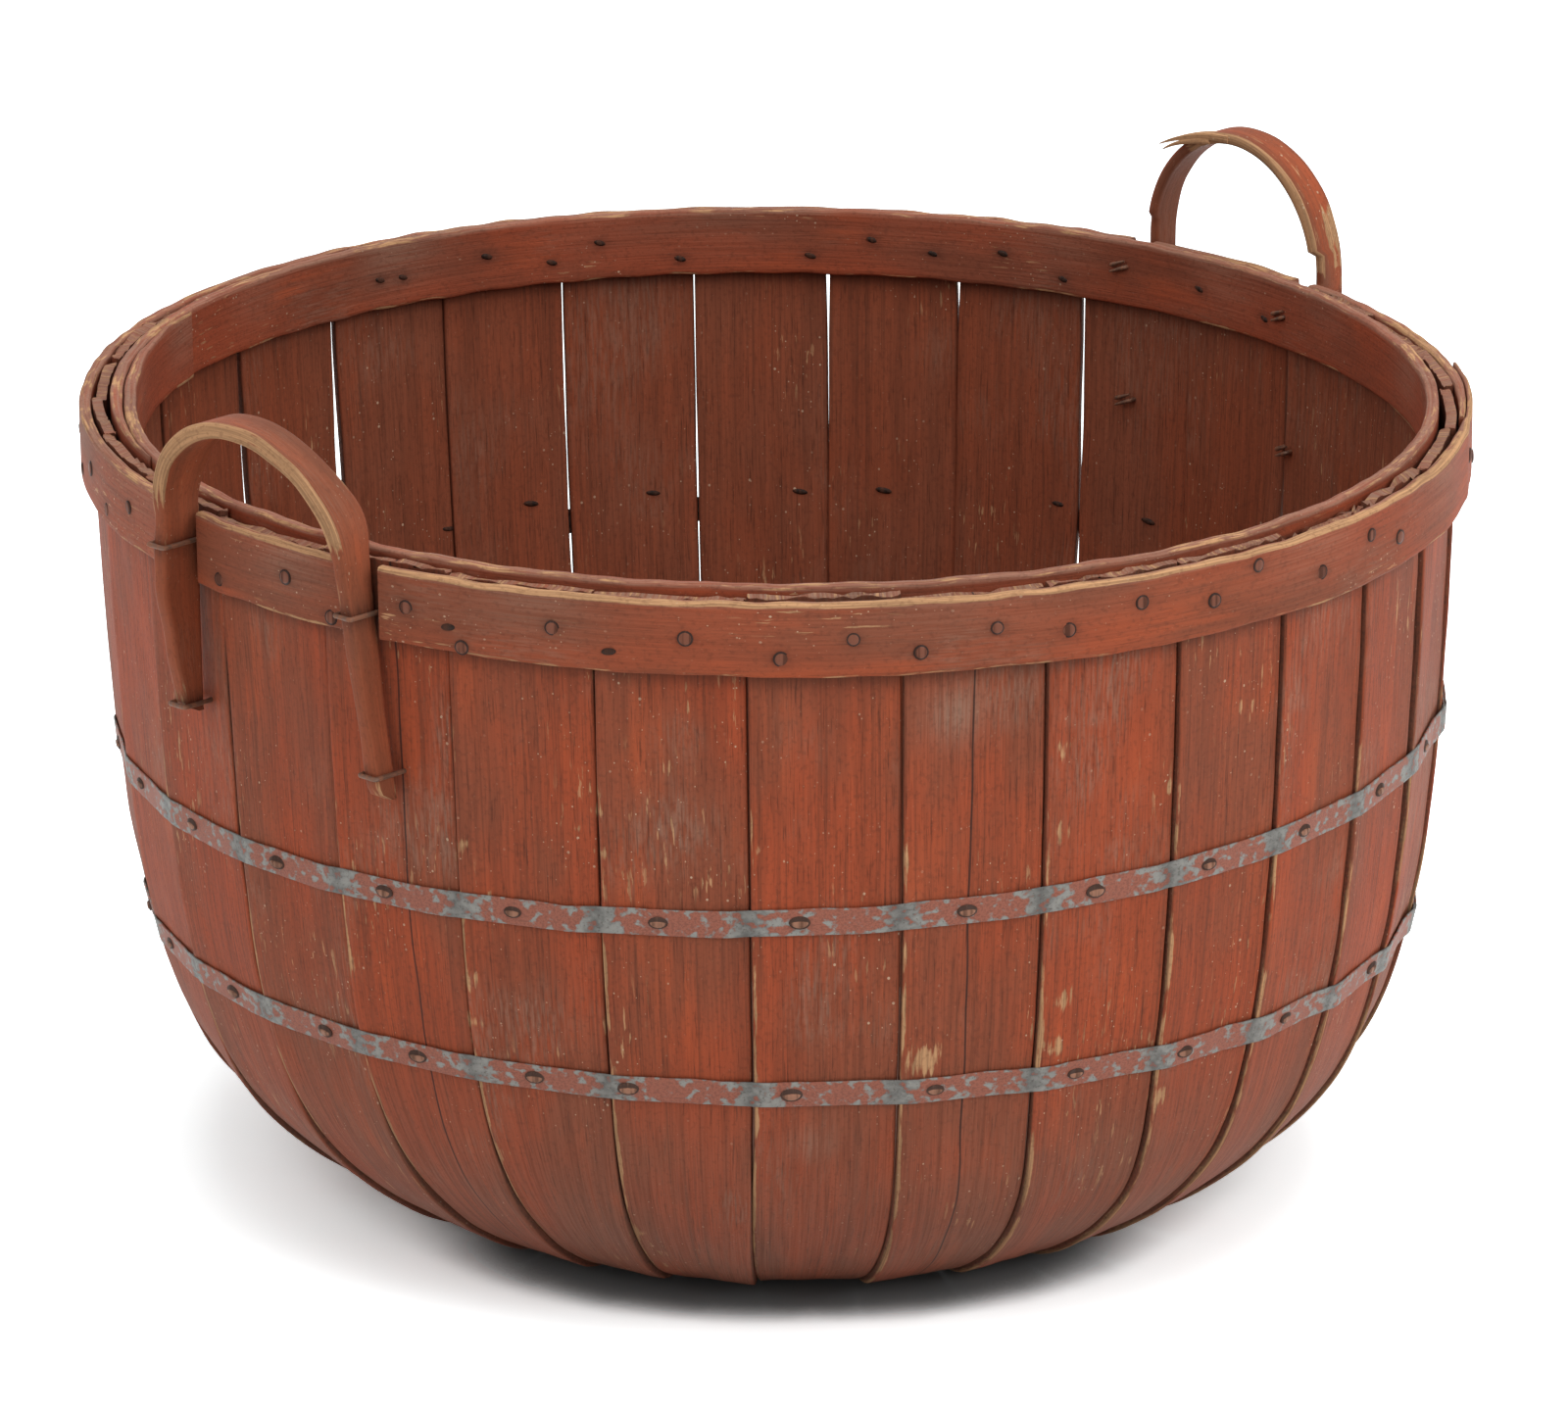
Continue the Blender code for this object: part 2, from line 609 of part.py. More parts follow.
    def drilled_staves(self):
        """Numbers of the staves that this handle's staples pass through."""
        found = set()
        margin = math.degrees((WIRE_RADIUS + DRILL_GAP + SEAM_GAP) / STAVE_RADIUS)
        for across, height, upper in self.wire_places():
            turn = self.turn + math.degrees(math.atan2(across, self.inside(across, height, upper)))
            for index in range(STAVE_COUNT):
                away = (turn - SEAMS[index] + margin) % 360.0
                if away < SEAMS[index + 1] - SEAMS[index] + 2 * margin:
                    found.add(index)
        return found

    def hoop_gaps(self):
        """Directions where the outer hoop stops for the legs: left leg's, then right leg's."""
        height = RIM_TOP - HOOP_HEIGHT
        half = self.wire_offset() + WIRE_RADIUS + HOOP_END_GAP
        gaps = []
        for side in (-1, 1):
            ends = []
            for way in (-1, 1):
                across = self.leg_middle(side, height if way == side else RIM_TOP) + way * half
                turn = self.turn + math.degrees(math.atan2(across, self.reach))
                radius = float(outer_hoop_radius(turn)) + (0.0 if way == side else OUTER_HOOP_THICKNESS)
                ends.append(self.turn + math.degrees(math.asin(across / radius)))
            gaps.append(ends)
        return gaps


def make_board(group):
    """The round bottom board, which lies on the stave feet."""
    radius = PROFILE_RADII[1] * (1.0 - OVAL_SHARE) * math.cos(math.radians(WIDEST / 2)) - BOARD_GAP
    low = STAVE_THICKNESS + FIT_GAP
    bpy.ops.mesh.primitive_cylinder_add(vertices=BOARD_SIDES, radius=radius, depth=BOARD_THICKNESS,
                                        location=(0.0, 0.0, low + BOARD_THICKNESS / 2))
    board = bpy.context.object
    board.name = "bottom_board"
    for holder in list(board.users_collection):
        holder.objects.unlink(board)
    group.objects.link(board)
    board.data.materials.append(make_material("bottom_board", INNER_PAINT, PAINT_ROUGHNESS))
    return board


def right_rear_share(angle):
    """Thickness share of the right rear hoop piece: its tip is shaved under the front piece."""
    return np.interp(angle, (OUTER_LAP_START, OUTER_LAP_FULL), (OUTER_TIP_SHARE, 1.0))


def front_lift(angle):
    """How far the front hoop piece rides up over the right rear piece."""
    under = OUTER_HOOP_THICKNESS * right_rear_share(angle) + FIT_GAP
    return np.where(angle < OUTER_LAP_START, 0.0, under)


def front_share(angle):
    keys = (OUTER_LAP_START - ARC_STEP, OUTER_LAP_START, OUTER_LAP_END)
    return np.interp(angle, keys, (1.0, 1.0 - OUTER_TIP_SHARE, FRONT_TIP_SHARE))


clear_scene()
basket = make_collection("gathering_basket")
helpers = make_collection("cutters")

near = Handle("near_handle", NEAR_TURN, NEAR_STAND_OUT, NEAR_SPAN, NEAR_RISE, NEAR_WIDTH, NEAR_THICKNESS)
near.bend(NEAR_LEAN_SHARE, NEAR_SWAY_SHARE, NEAR_NARROW_SHARE, NEAR_RIGHT_LEG, NEAR_LEFT_LEG)
far = Handle("far_handle", FAR_TURN, FAR_STAND_OUT, FAR_SPAN, FAR_RISE, FAR_WIDTH, FAR_THICKNESS)
far.bend(FAR_LEAN_SHARE, FAR_SWAY_SHARE, FAR_NARROW_SHARE, FAR_RIGHT_LEG, FAR_LEFT_LEG)

staves = [make_stave(index, basket) for index in range(STAVE_COUNT)]
inner_hoop = make_inner_hoop(basket)
for handle in (near, far):
    drill = handle.make_drill(helpers)
    boolean(inner_hoop, drill, 'DIFFERENCE')
    for index in handle.drilled_staves():
        boolean(staves[index], drill, 'DIFFERENCE')
    handle.make(basket)
    for side in (1, -1):
        for upper in (True, False):
            handle.make_staple(side, upper, basket)

(near_left, near_right), (far_left, far_right) = near.hoop_gaps(), far.hoop_gaps()
make_outer_hoop("outer_hoop_front", near_right[1] - 360.0, OUTER_LAP_END, basket, helpers,
                front_lift, front_share)
make_outer_hoop("outer_hoop_right", OUTER_LAP_START, far_left[0], basket, helpers,
                None, right_rear_share, OUTER_LAP_END - OUTER_LAP_START)
make_outer_hoop("outer_hoop_far", far_left[1], far_right[0], basket, helpers)
make_outer_hoop("outer_hoop_rear", far_right[1], near_left[0], basket, helpers)
make_outer_hoop("outer_hoop_near", near_left[1], near_right[0], basket, helpers)

make_band("upper_band", UPPER_BAND_HEIGHT, UPPER_BAND_SLOPE_SHARE, UPPER_BAND_SLOPE_TURN,
          basket, helpers)
make_band("lower_band", LOWER_BAND_HEIGHT, LOWER_BAND_SLOPE_SHARE, LOWER_BAND_SLOPE_TURN,
          basket, helpers)
make_board(basket)
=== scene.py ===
import math

import bpy
import numpy as np
from mathutils import Matrix, Vector


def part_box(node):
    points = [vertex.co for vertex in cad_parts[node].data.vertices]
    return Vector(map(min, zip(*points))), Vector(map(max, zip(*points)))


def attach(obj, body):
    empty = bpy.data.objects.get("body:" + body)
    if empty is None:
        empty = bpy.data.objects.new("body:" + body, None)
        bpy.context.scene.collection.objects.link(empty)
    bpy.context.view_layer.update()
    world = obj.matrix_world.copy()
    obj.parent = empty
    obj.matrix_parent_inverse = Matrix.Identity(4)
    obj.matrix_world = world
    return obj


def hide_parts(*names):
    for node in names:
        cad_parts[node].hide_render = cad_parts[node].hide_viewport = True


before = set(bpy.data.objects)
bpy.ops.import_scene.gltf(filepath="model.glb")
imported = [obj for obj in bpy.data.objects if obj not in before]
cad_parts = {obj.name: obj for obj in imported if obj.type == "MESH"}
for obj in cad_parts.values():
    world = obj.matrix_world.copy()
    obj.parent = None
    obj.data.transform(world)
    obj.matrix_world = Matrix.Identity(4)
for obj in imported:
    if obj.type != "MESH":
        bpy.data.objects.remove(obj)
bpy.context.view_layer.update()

# The camera stands four metres off and a little above the rim, with the near handle at its left,
# as the photograph was taken. Its shift only puts the basket where the photograph's frame has it.
PHOTO_SIZE = (1600, 1443)
PHOTO_CENTRE = (791.2, 751.6)   # pixel on the lens axis
PHOTO_FOCUS = 8674.0            # focal length in pixels
CAMERA_TURN = 45.9              # degrees from looking along +Y, clockwise from above
CAMERA_PITCH = 0.3183           # radians looking down
CAMERA_ROLL = -0.0104
CAMERA_DISTANCE = 4.0
CAMERA_AIM = 0.2                # height that it looks at
FILM_WIDTH = 36.0

camera_back = Vector((0.0, -math.cos(CAMERA_PITCH), math.sin(CAMERA_PITCH)))
camera_up = Vector((0.0, math.sin(CAMERA_PITCH), math.cos(CAMERA_PITCH)))
camera_axes = Matrix((Vector((1.0, 0.0, 0.0)), camera_up, camera_back)).transposed().to_4x4()
camera_axes.translation = camera_back * CAMERA_DISTANCE + Vector((0.0, 0.0, CAMERA_AIM))
camera_place = (Matrix.Rotation(-math.radians(CAMERA_TURN), 4, 'Z') @ camera_axes
                @ Matrix.Rotation(CAMERA_ROLL, 4, 'Z'))
lens = bpy.data.cameras.new("camera")
lens.sensor_width = FILM_WIDTH
lens.lens = PHOTO_FOCUS * FILM_WIDTH / PHOTO_SIZE[0]
lens.shift_x = (PHOTO_SIZE[0] / 2 - PHOTO_CENTRE[0]) / PHOTO_SIZE[0]
lens.shift_y = (PHOTO_CENTRE[1] - PHOTO_SIZE[1] / 2) / PHOTO_SIZE[0]
camera = bpy.data.objects.new("camera", lens)
camera.matrix_world = camera_place
bpy.context.scene.collection.objects.link(camera)
bpy.context.scene.camera = camera

# Thirty staves of split and planed wood, about 5 mm thick, bent so that they turn in at the bottom.
# They stand edge to edge with each left edge a little proud of its neighbour, and are painted
# brick red, worn through to pale wood along those proud edges and streaked by the open grain.
RIM_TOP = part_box("outer_hoop_near")[1][2]
STAVE_COUNT = 30
STAVE_RADIUS = 0.3219
STAVE_THICKNESS = 0.0048
STAVE_CORNER = 0.0011
STAVE_STATIONS = 110
STAVE_FILLS = 15                # places across a face between its rounded corners
OVAL_SHARE = 0.034              # how far the old basket has gone out of round
OVAL_TURN = 69.3
FIRST_SEAM = 145.8
EDGE_STEP = 0.0020
TURN_STEP = 0.0026              # the edge step at the bottom turn
FRONT_STAVE = 6                 # the stave that lies under both its neighbours there
TOP_WANDER = 0.0012             # how unevenly the tops were sawn, with its reach down the stave
TOP_REACH = 0.03
WANDER_TURN = 137.5
BEND_ROUNDING = 0.030           # length over which the bend's corners are rounded
TOP_EDGE = 0.0009               # the ragged part of a stave's top
CUT_SLOPE = 0.03                # keeps the places under a ragged cut in their order
# Height as a share of RIM_TOP and radius as a share of STAVE_RADIUS, from foot to top
PROFILE_SHARES = (
    (0.0, 0.366), (0.0, 0.553), (0.0068, 0.604), (0.0243, 0.652), (0.054, 0.7125),
    (0.0972, 0.780), (0.162, 0.8535), (0.2295, 0.901), (0.3106, 0.9333), (0.4321, 0.964),
    (0.5941, 0.984), (0.7697, 0.9948), (0.9082, 1.0), (1.0, 1.0))
STEP_HEIGHT_SHARES = (0.0, 0.02, 0.16, 0.32, 1.0)
WIDTH_SHARES = (
    1.10, 1.10, 1.10, 1.03, 1.03, 0.99, 0.97, 0.93, 0.94, 0.88, 0.90, 0.92, 1.00, 1.00, 0.99,
    1.00, 1.08, 1.08, 1.01, 1.04, 1.00, 0.99, 0.98, 0.94, 0.97, 1.00, 1.13, 0.96, 0.97, 0.96)
# How far some seams wander at the bottom turn, as a share of the mean stave width
DRIFT_SHARES = {2: 0.16, 3: 0.19, 4: 0.11, 5: -0.05, 6: -0.08, 7: 0.05, 8: 0.14, 9: 0.18, 10: 0.03}
DRIFT_HEIGHT_SHARE = 0.4
SEAM_WIDTH = 0.0011
SEAM_CLOSED = 0.0002            # width of a seam on its inner side, where the staves turn in
CLOSED_HEIGHTS = (0.05, 0.11)
SEAM_WANDER = 0.25              # share of a seam's width that wanders along it, and over what length
SEAM_WANDER_LENGTH = 0.16
# Widths of the seams that have dried open or pressed shut, at the last three of four heights
SEAM_HEIGHTS = (0.10, 0.22, 0.31, 0.35)
TOP_SEAMS = {
    2: (0.0056, 0.0040, 0.0020), 12: (0.0036, 0.0030, 0.0020), 17: (0.0058, 0.0050, 0.0032),
    18: (0.0010, 0.0008, 0.0006), 19: (0.0040, 0.0040, 0.0036), 20: (0.0003, 0.0012, 0.0040),
    21: (0.0002, 0.0018, 0.0030), 22: (0.0011, 0.0010, 0.0010), 23: (0.0012, 0.0013, 0.0014),
    24: (0.0003, 0.0003, 0.0003), 25: (0.0032, 0.0030, 0.0030), 26: (0.0040, 0.0030, 0.0006),
    27: (0.0003, 0.0003, 0.0003)}
STAVE_BULGE = 0.0013            # how far the hoops bend a stave's flat face to their curve
BULGE_SHARES = (0.78, 0.90)     # from no bend to the whole one, as shares of RIM_TOP
STAVE_CUP = 0.0006
STAVE_RIPPLE = 0.00016
FACE_SINK = 0.0002              # a rippled face lies this far in, so that it keeps its box
RAGGED_TOPS = {10: 0.0050, 11: 0.0040}
RAGGED_TOP = 0.0018
CRACK_PLACES = {3: 0.036, 7: 0.030}     # hairline cracks, from the left edges of these staves
# Places where the paint is off, and then those where it is only rubbed pale, as pixels of the
# photograph, with their size and how bare or pale they are
WORN_SPOTS = (((945, 1083), 0.014, 0.88), ((1182, 1118), 0.009, 0.80), ((1085, 1025), 0.012, 0.74),
              ((1076, 1068), 0.009, 0.76), ((607, 828), 0.008, 0.78), ((609, 868), 0.008, 0.78),
              ((588, 846), 0.006, 0.80), ((769, 832), 0.006, 0.75), ((770, 864), 0.006, 0.75),
              ((472, 862), 0.008, 0.75), ((479, 1000), 0.010, 0.78), ((482, 1042), 0.010, 0.78),
              ((358, 985), 0.008, 0.80), ((1085, 765), 0.010, 0.66), ((1078, 850), 0.012, 0.68),
              ((1196, 806), 0.007, 0.82), ((520, 1180), 0.008, 0.66), ((651, 1262), 0.009, 0.84))
RUBBED_SPOTS = (((975, 728), 0.013, 0.72), ((825, 1172), 0.012, 0.55))
LEFT_WEAR = (0.58, 0.44)        # least wear of the proud left edge, and how much it comes and goes
RIGHT_WEAR = 0.55
# Marks that change with height: shares of RIM_TOP, then the mark at each
EDGE_WEAR = ((0.0, 0.25, 0.6, 0.85, 1.0), (1.0, 1.0, 0.82, 0.5, 0.4))
LOW_DUST = ((0.02, 0.12, 0.26, 0.42), (0.40, 0.36, 0.20, 0.0))
# Darker towards the foot on the outer wall
FOOT_DARKENING = ((0.0, 0.05, 0.2, 0.45), (0.60, 0.40, 0.24, 0.0))
# Painted shade on the outer wall just under the outer hoop
UNDER_HOOP_SHADE = ((0.890, 0.912), (0.0, 0.80))
# Darker towards the bottom on the inner wall
LOW_INSIDE_DARKENING = ((0.0, 0.15, 0.5), (0.55, 0.4, 0.0))
# Painted shade on the inner wall just under the inner hoop
UNDER_INNER_HOOP_SHADE = ((0.895, 0.922), (0.0, 0.7))
# Painted shade in the seams: the side faces of the staves are darkened
SEAM_SIDE_SHADE = 0.85
TOP_MARKS = (0.0, 0.26, 0.60, 0.75)     # the marks inside, dirt and shade, worn and rubbed on the sawn top
PAINT = (0.360, 0.070, 0.027)
DULL_PAINT = (0.230, 0.070, 0.036)
INNER_PAINT = (0.255, 0.062, 0.027)
FRESH_PAINT = (0.48, 0.092, 0.030)
PALE_PAINT = (0.30, 0.185, 0.130)
BARE_WOOD = (0.55, 0.30, 0.15)
FLECK = (0.56, 0.40, 0.27)
GRIME = (0.08, 0.024, 0.013)
# The dark colour of dirt and of painted shade in the seams, under the hoops and on hidden faces
DIRT_AND_SHADE = (0.045, 0.022, 0.014)
RUST_STAIN = (0.022, 0.013, 0.010)
CRACK_DARK = (0.020, 0.010, 0.008)
# Noise in the paint: waves a metre across the grain and along it, a shift and the detail
PAINT_NOISE = {
    "broad": (24.0, 9.0, 3.1, 5.0), "streak": (240.0, 6.0, 7.7, 5.0), "thin": (1150.0, 24.0, 8.8, 3.0),
    "lines": (820.0, 7.0, 4.4, 3.0), "pores": (1500.0, 60.0, 1.3, 2.0), "grit": (620.0, 430.0, 5.9, 3.0),
    "ragged": (560.0, 70.0, 9.2, 4.0), "patch": (20.0, 12.0, 6.3, 2.0), "fresh": (38.0, 15.0, 1.9, 4.0),
    "scuff": (17.0, 11.0, 2.4, 4.0), "scratch": (900.0, 90.0, 4.6, 4.0), "bent": (30.0, 14.0, 5.5, 1.0)}
FLECKS = ((520.0, 0.95), (950.0, 0.93))     # waves a metre and the share of places without one
CRACK_BEND = 0.006
CRACK_EDGES = (0.0002, 0.0006)
WOOD_BUMPS = (0.55, 0.0006)                 # strength and depth
PAINT_GLOSS = 0.16


def waver(place, length, seed):
    """A smooth wander between about -1 and 1: a sum of four sines of unlike length and phase."""
    chance = np.random.default_rng(seed)
    pace = chance.uniform(0.5, 2.4, 4)
    phase = chance.uniform(0.0, 2.0 * math.pi, 4)
    turns = 2.0 * math.pi * np.asarray(place)[..., None] / length * pace + phase
    return np.sin(turns).sum(axis=-1) / 2.6


def oval(angle):
    """Radius factor of the basket, which has gone out of round, in one direction."""
    return 1.0 + OVAL_SHARE * np.cos(2.0 * np.radians(np.asarray(angle) - OVAL_TURN))


def polar(angle, radius, height):
    """Points at an angle in degrees, a radius and a height, with x, y, z along the last axis."""
    turn = np.radians(angle)
    return np.stack(np.broadcast_arrays(radius * np.cos(turn), radius * np.sin(turn), height), axis=-1)


def unit(ways):
    """Directions scaled to length one."""
    return ways / np.linalg.norm(ways, axis=-1, keepdims=True)


def travelled(line):
    """Length along a line from its first point to each point."""
    return np.concatenate([[0.0], np.cumsum(np.linalg.norm(np.diff(line, axis=0), axis=-1))])


def rounded_section(corner, fills):
    """Round a board's section: a rectangle of shares from 0 to 1 whose corners are cut by offsets.

    Gives four arrays: the share and offset through the board, then the share and offset across it.
    The outer face runs from the left corner to the right one, the inner face runs back.
    """
    middle = np.linspace(0.0, 1.0, fills + 2)[1:-1]
    cut = 0.3 * corner
    outer = [(1, 0, -corner, 0), (1, 0, -cut, cut), (1, 0, 0, corner),
             *((1, share, 0, 0) for share in middle),
             (1, 1, 0, -corner), (1, 1, -cut, -cut), (1, 1, -corner, 0)]
    inner = [(0, 1, corner, 0), (0, 1, cut, -cut), (0, 1, 0, -corner),
             *((0, share, 0, 0) for share in middle[::-1]),
             (0, 0, 0, corner), (0, 0, cut, cut), (0, 0, corner, 0)]
    through, across, through_cut, across_cut = np.array(outer + inner, float).T
    return through, through_cut, across, across_cut


def board_mesh(name, points, ring, along, **marks):
    """A closed mesh from cross-sections: points is rows by corners by 3, each row one section.

    Neighbouring sections are joined by quads and both ends are closed. ring is the flat section,
    through and across the board. The map "grain" holds the distance around and along the board,
    or across and through it on an end, and each mark is a value at every point. A board without a
    crack has it one metre off.
    """
    rows, corners = points.shape[:2]
    around = travelled(np.append(ring, ring[:, :1], axis=1).T)
    here = np.arange(rows * corners).reshape(rows, corners)
    beside = np.roll(here, -1, axis=1)
    quads = np.stack([here[:-1], beside[:-1], beside[1:], here[1:]], axis=-1).reshape(-1, 4)
    start, stop, low, high = np.broadcast_arrays(around[:-1], around[1:], along[:-1, None], along[1:, None])
    grain = np.stack([start, low, stop, low, stop, high, start, high], axis=-1).reshape(-1, 4, 2)
    flat = points.reshape(-1, 3)
    corner = (flat - flat.mean(axis=0))[quads]
    volume = sum(np.einsum('ij,ij', corner[:, 0], np.cross(corner[:, step], corner[:, step + 1]))
                 for step in (1, 2))
    foot, head = here[0, ::-1], here[-1]
    if volume < 0.0:
        quads, grain = quads[:, ::-1], grain[:, ::-1]
        foot, head = foot[::-1], head[::-1]
    ends = np.concatenate([np.stack([ring[1, end % corners], at + ring[0, end % corners]], axis=-1)
                           for end, at in ((foot, along[0]), (head, along[-1]))])
    mesh = bpy.data.meshes.new(name)
    mesh.from_pydata(flat.tolist(), [], [*quads.tolist(), foot.tolist(), head.tolist()])
    layer = mesh.uv_layers.new(name="grain")
    layer.data.foreach_set("uv", np.concatenate([grain.reshape(-1, 2), ends]).astype(np.float32).ravel())
    for kind, values in {"crack": -1.0, **marks}.items():
        spread = np.broadcast_to(values, (rows, corners)).astype(np.float32)
        mesh.attributes.new(kind, 'FLOAT', 'POINT').data.foreach_set("value", spread.ravel())
    mesh.shade_smooth()
    mesh.set_sharp_from_angle(angle=math.radians(55.0))
    return mesh


def place_piece(mesh, material, slot, *nodes):
    """Adds a piece that rides on the basket, with its material, and hides the solids that it stands for."""
    piece = bpy.data.objects.new(mesh.name, mesh)
    bpy.context.scene.collection.objects.link(piece)
    mesh.materials.append(material)
    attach(piece, "root")
    if nodes:
        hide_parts(*nodes)


def feed(node, sockets):
    """Sets each of a node's inputs to a value or joins it to an output."""
    for key, value in sockets.items():
        if isinstance(value, bpy.types.NodeSocket):
            node.id_data.links.new(value, node.inputs[key])
        else:
            node.inputs[key].default_value = value


def add_node(tree, kind, sockets=None, **settings):
    """A shader node with its inputs and settings."""
    made = tree.nodes.new("ShaderNode" + kind)
    for key, value in settings.items():
        setattr(made, key, value)
    feed(made, sockets or {})
    return made


def mark(tree, name):
    """The value that the mesh carries under this name, or 0."""
    return add_node(tree, "Attribute", attribute_name=name).outputs["Fac"]


def fade(tree, value, low, high, floor=0.0, top=1.0):
    """Goes smoothly from floor to top as value goes from low to high."""
    sockets = {"Value": value, "From Min": low, "From Max": high, "To Min": floor, "To Max": top}
    return add_node(tree, "MapRange", sockets, interpolation_type='SMOOTHSTEP').outputs["Result"]


def combine(tree, operation, *values):
    """Values multiplied, or the highest of them, and so on: one step of arithmetic after another."""
    result = values[0]
    for value in values[1:]:
        result = add_node(tree, "Math", {0: result, 1: value}, operation=operation).outputs[0]
    return result


def weighted(tree, *pairs):
    """A sum of values, each times its weight."""
    total = 0.0
    for value, weight in pairs:
        total = add_node(tree, "Math", {0: value, 1: weight, 2: total}, operation='MULTIPLY_ADD').outputs[0]
    return total


def tint(tree, share, first, second):
    """Two colours blended by a share."""
    first, second = ((*part, 1.0) if isinstance(part, tuple) else part for part in (first, second))
    return add_node(tree, "Mix", {0: share, 6: first, 7: second}, data_type='RGBA').outputs[2]


def darker(colour, share):
    """A share of a colour."""
    return tuple(share * part for part in colour)


def speckle(tree, place, across, along, shift, detail=2.0):
    """Noise stretched along the grain: so many waves a metre across it and along it."""
    vector = add_node(tree, "VectorMath", {0: place, 1: (across, along, 1.0), 2: (shift, shift, shift)},
                      operation='MULTIPLY_ADD').outputs[0]
    return add_node(tree, "TexNoise", {"Vector": vector, "Scale": 1.0, "Detail": detail}).outputs["Fac"]


def grain_place(tree):
    """Distance around and along the board, with the piece's own number as the third axis."""
    split = add_node(tree, "SeparateXYZ", {0: add_node(tree, "UVMap", uv_map="grain").outputs[0]})
    piece = weighted(tree, (mark(tree, "piece"), 3.7))
    return add_node(tree, "CombineXYZ", {0: split.outputs[0], 1: split.outputs[1], 2: piece}).outputs[0]


def new_material(name):
    """A material with its node tree and its shader."""
    material = bpy.data.materials.new(name)
    material.use_nodes = True
    return material, material.node_tree, material.node_tree.nodes["Principled BSDF"]


def coat(shader, colour, roughness, gloss, height, bumps, metal=0.0):
    """Gives a shader its finish, with bumps of a strength and a depth where height changes."""
    bump = add_node(shader.id_data, "Bump", {"Strength": bumps[0], "Distance": bumps[1], "Height": height})
    feed(shader, {"Base Color": colour, "Roughness": roughness, "Specular IOR Level": gloss,
                  "Metallic": metal, "Normal": bump.outputs[0]})


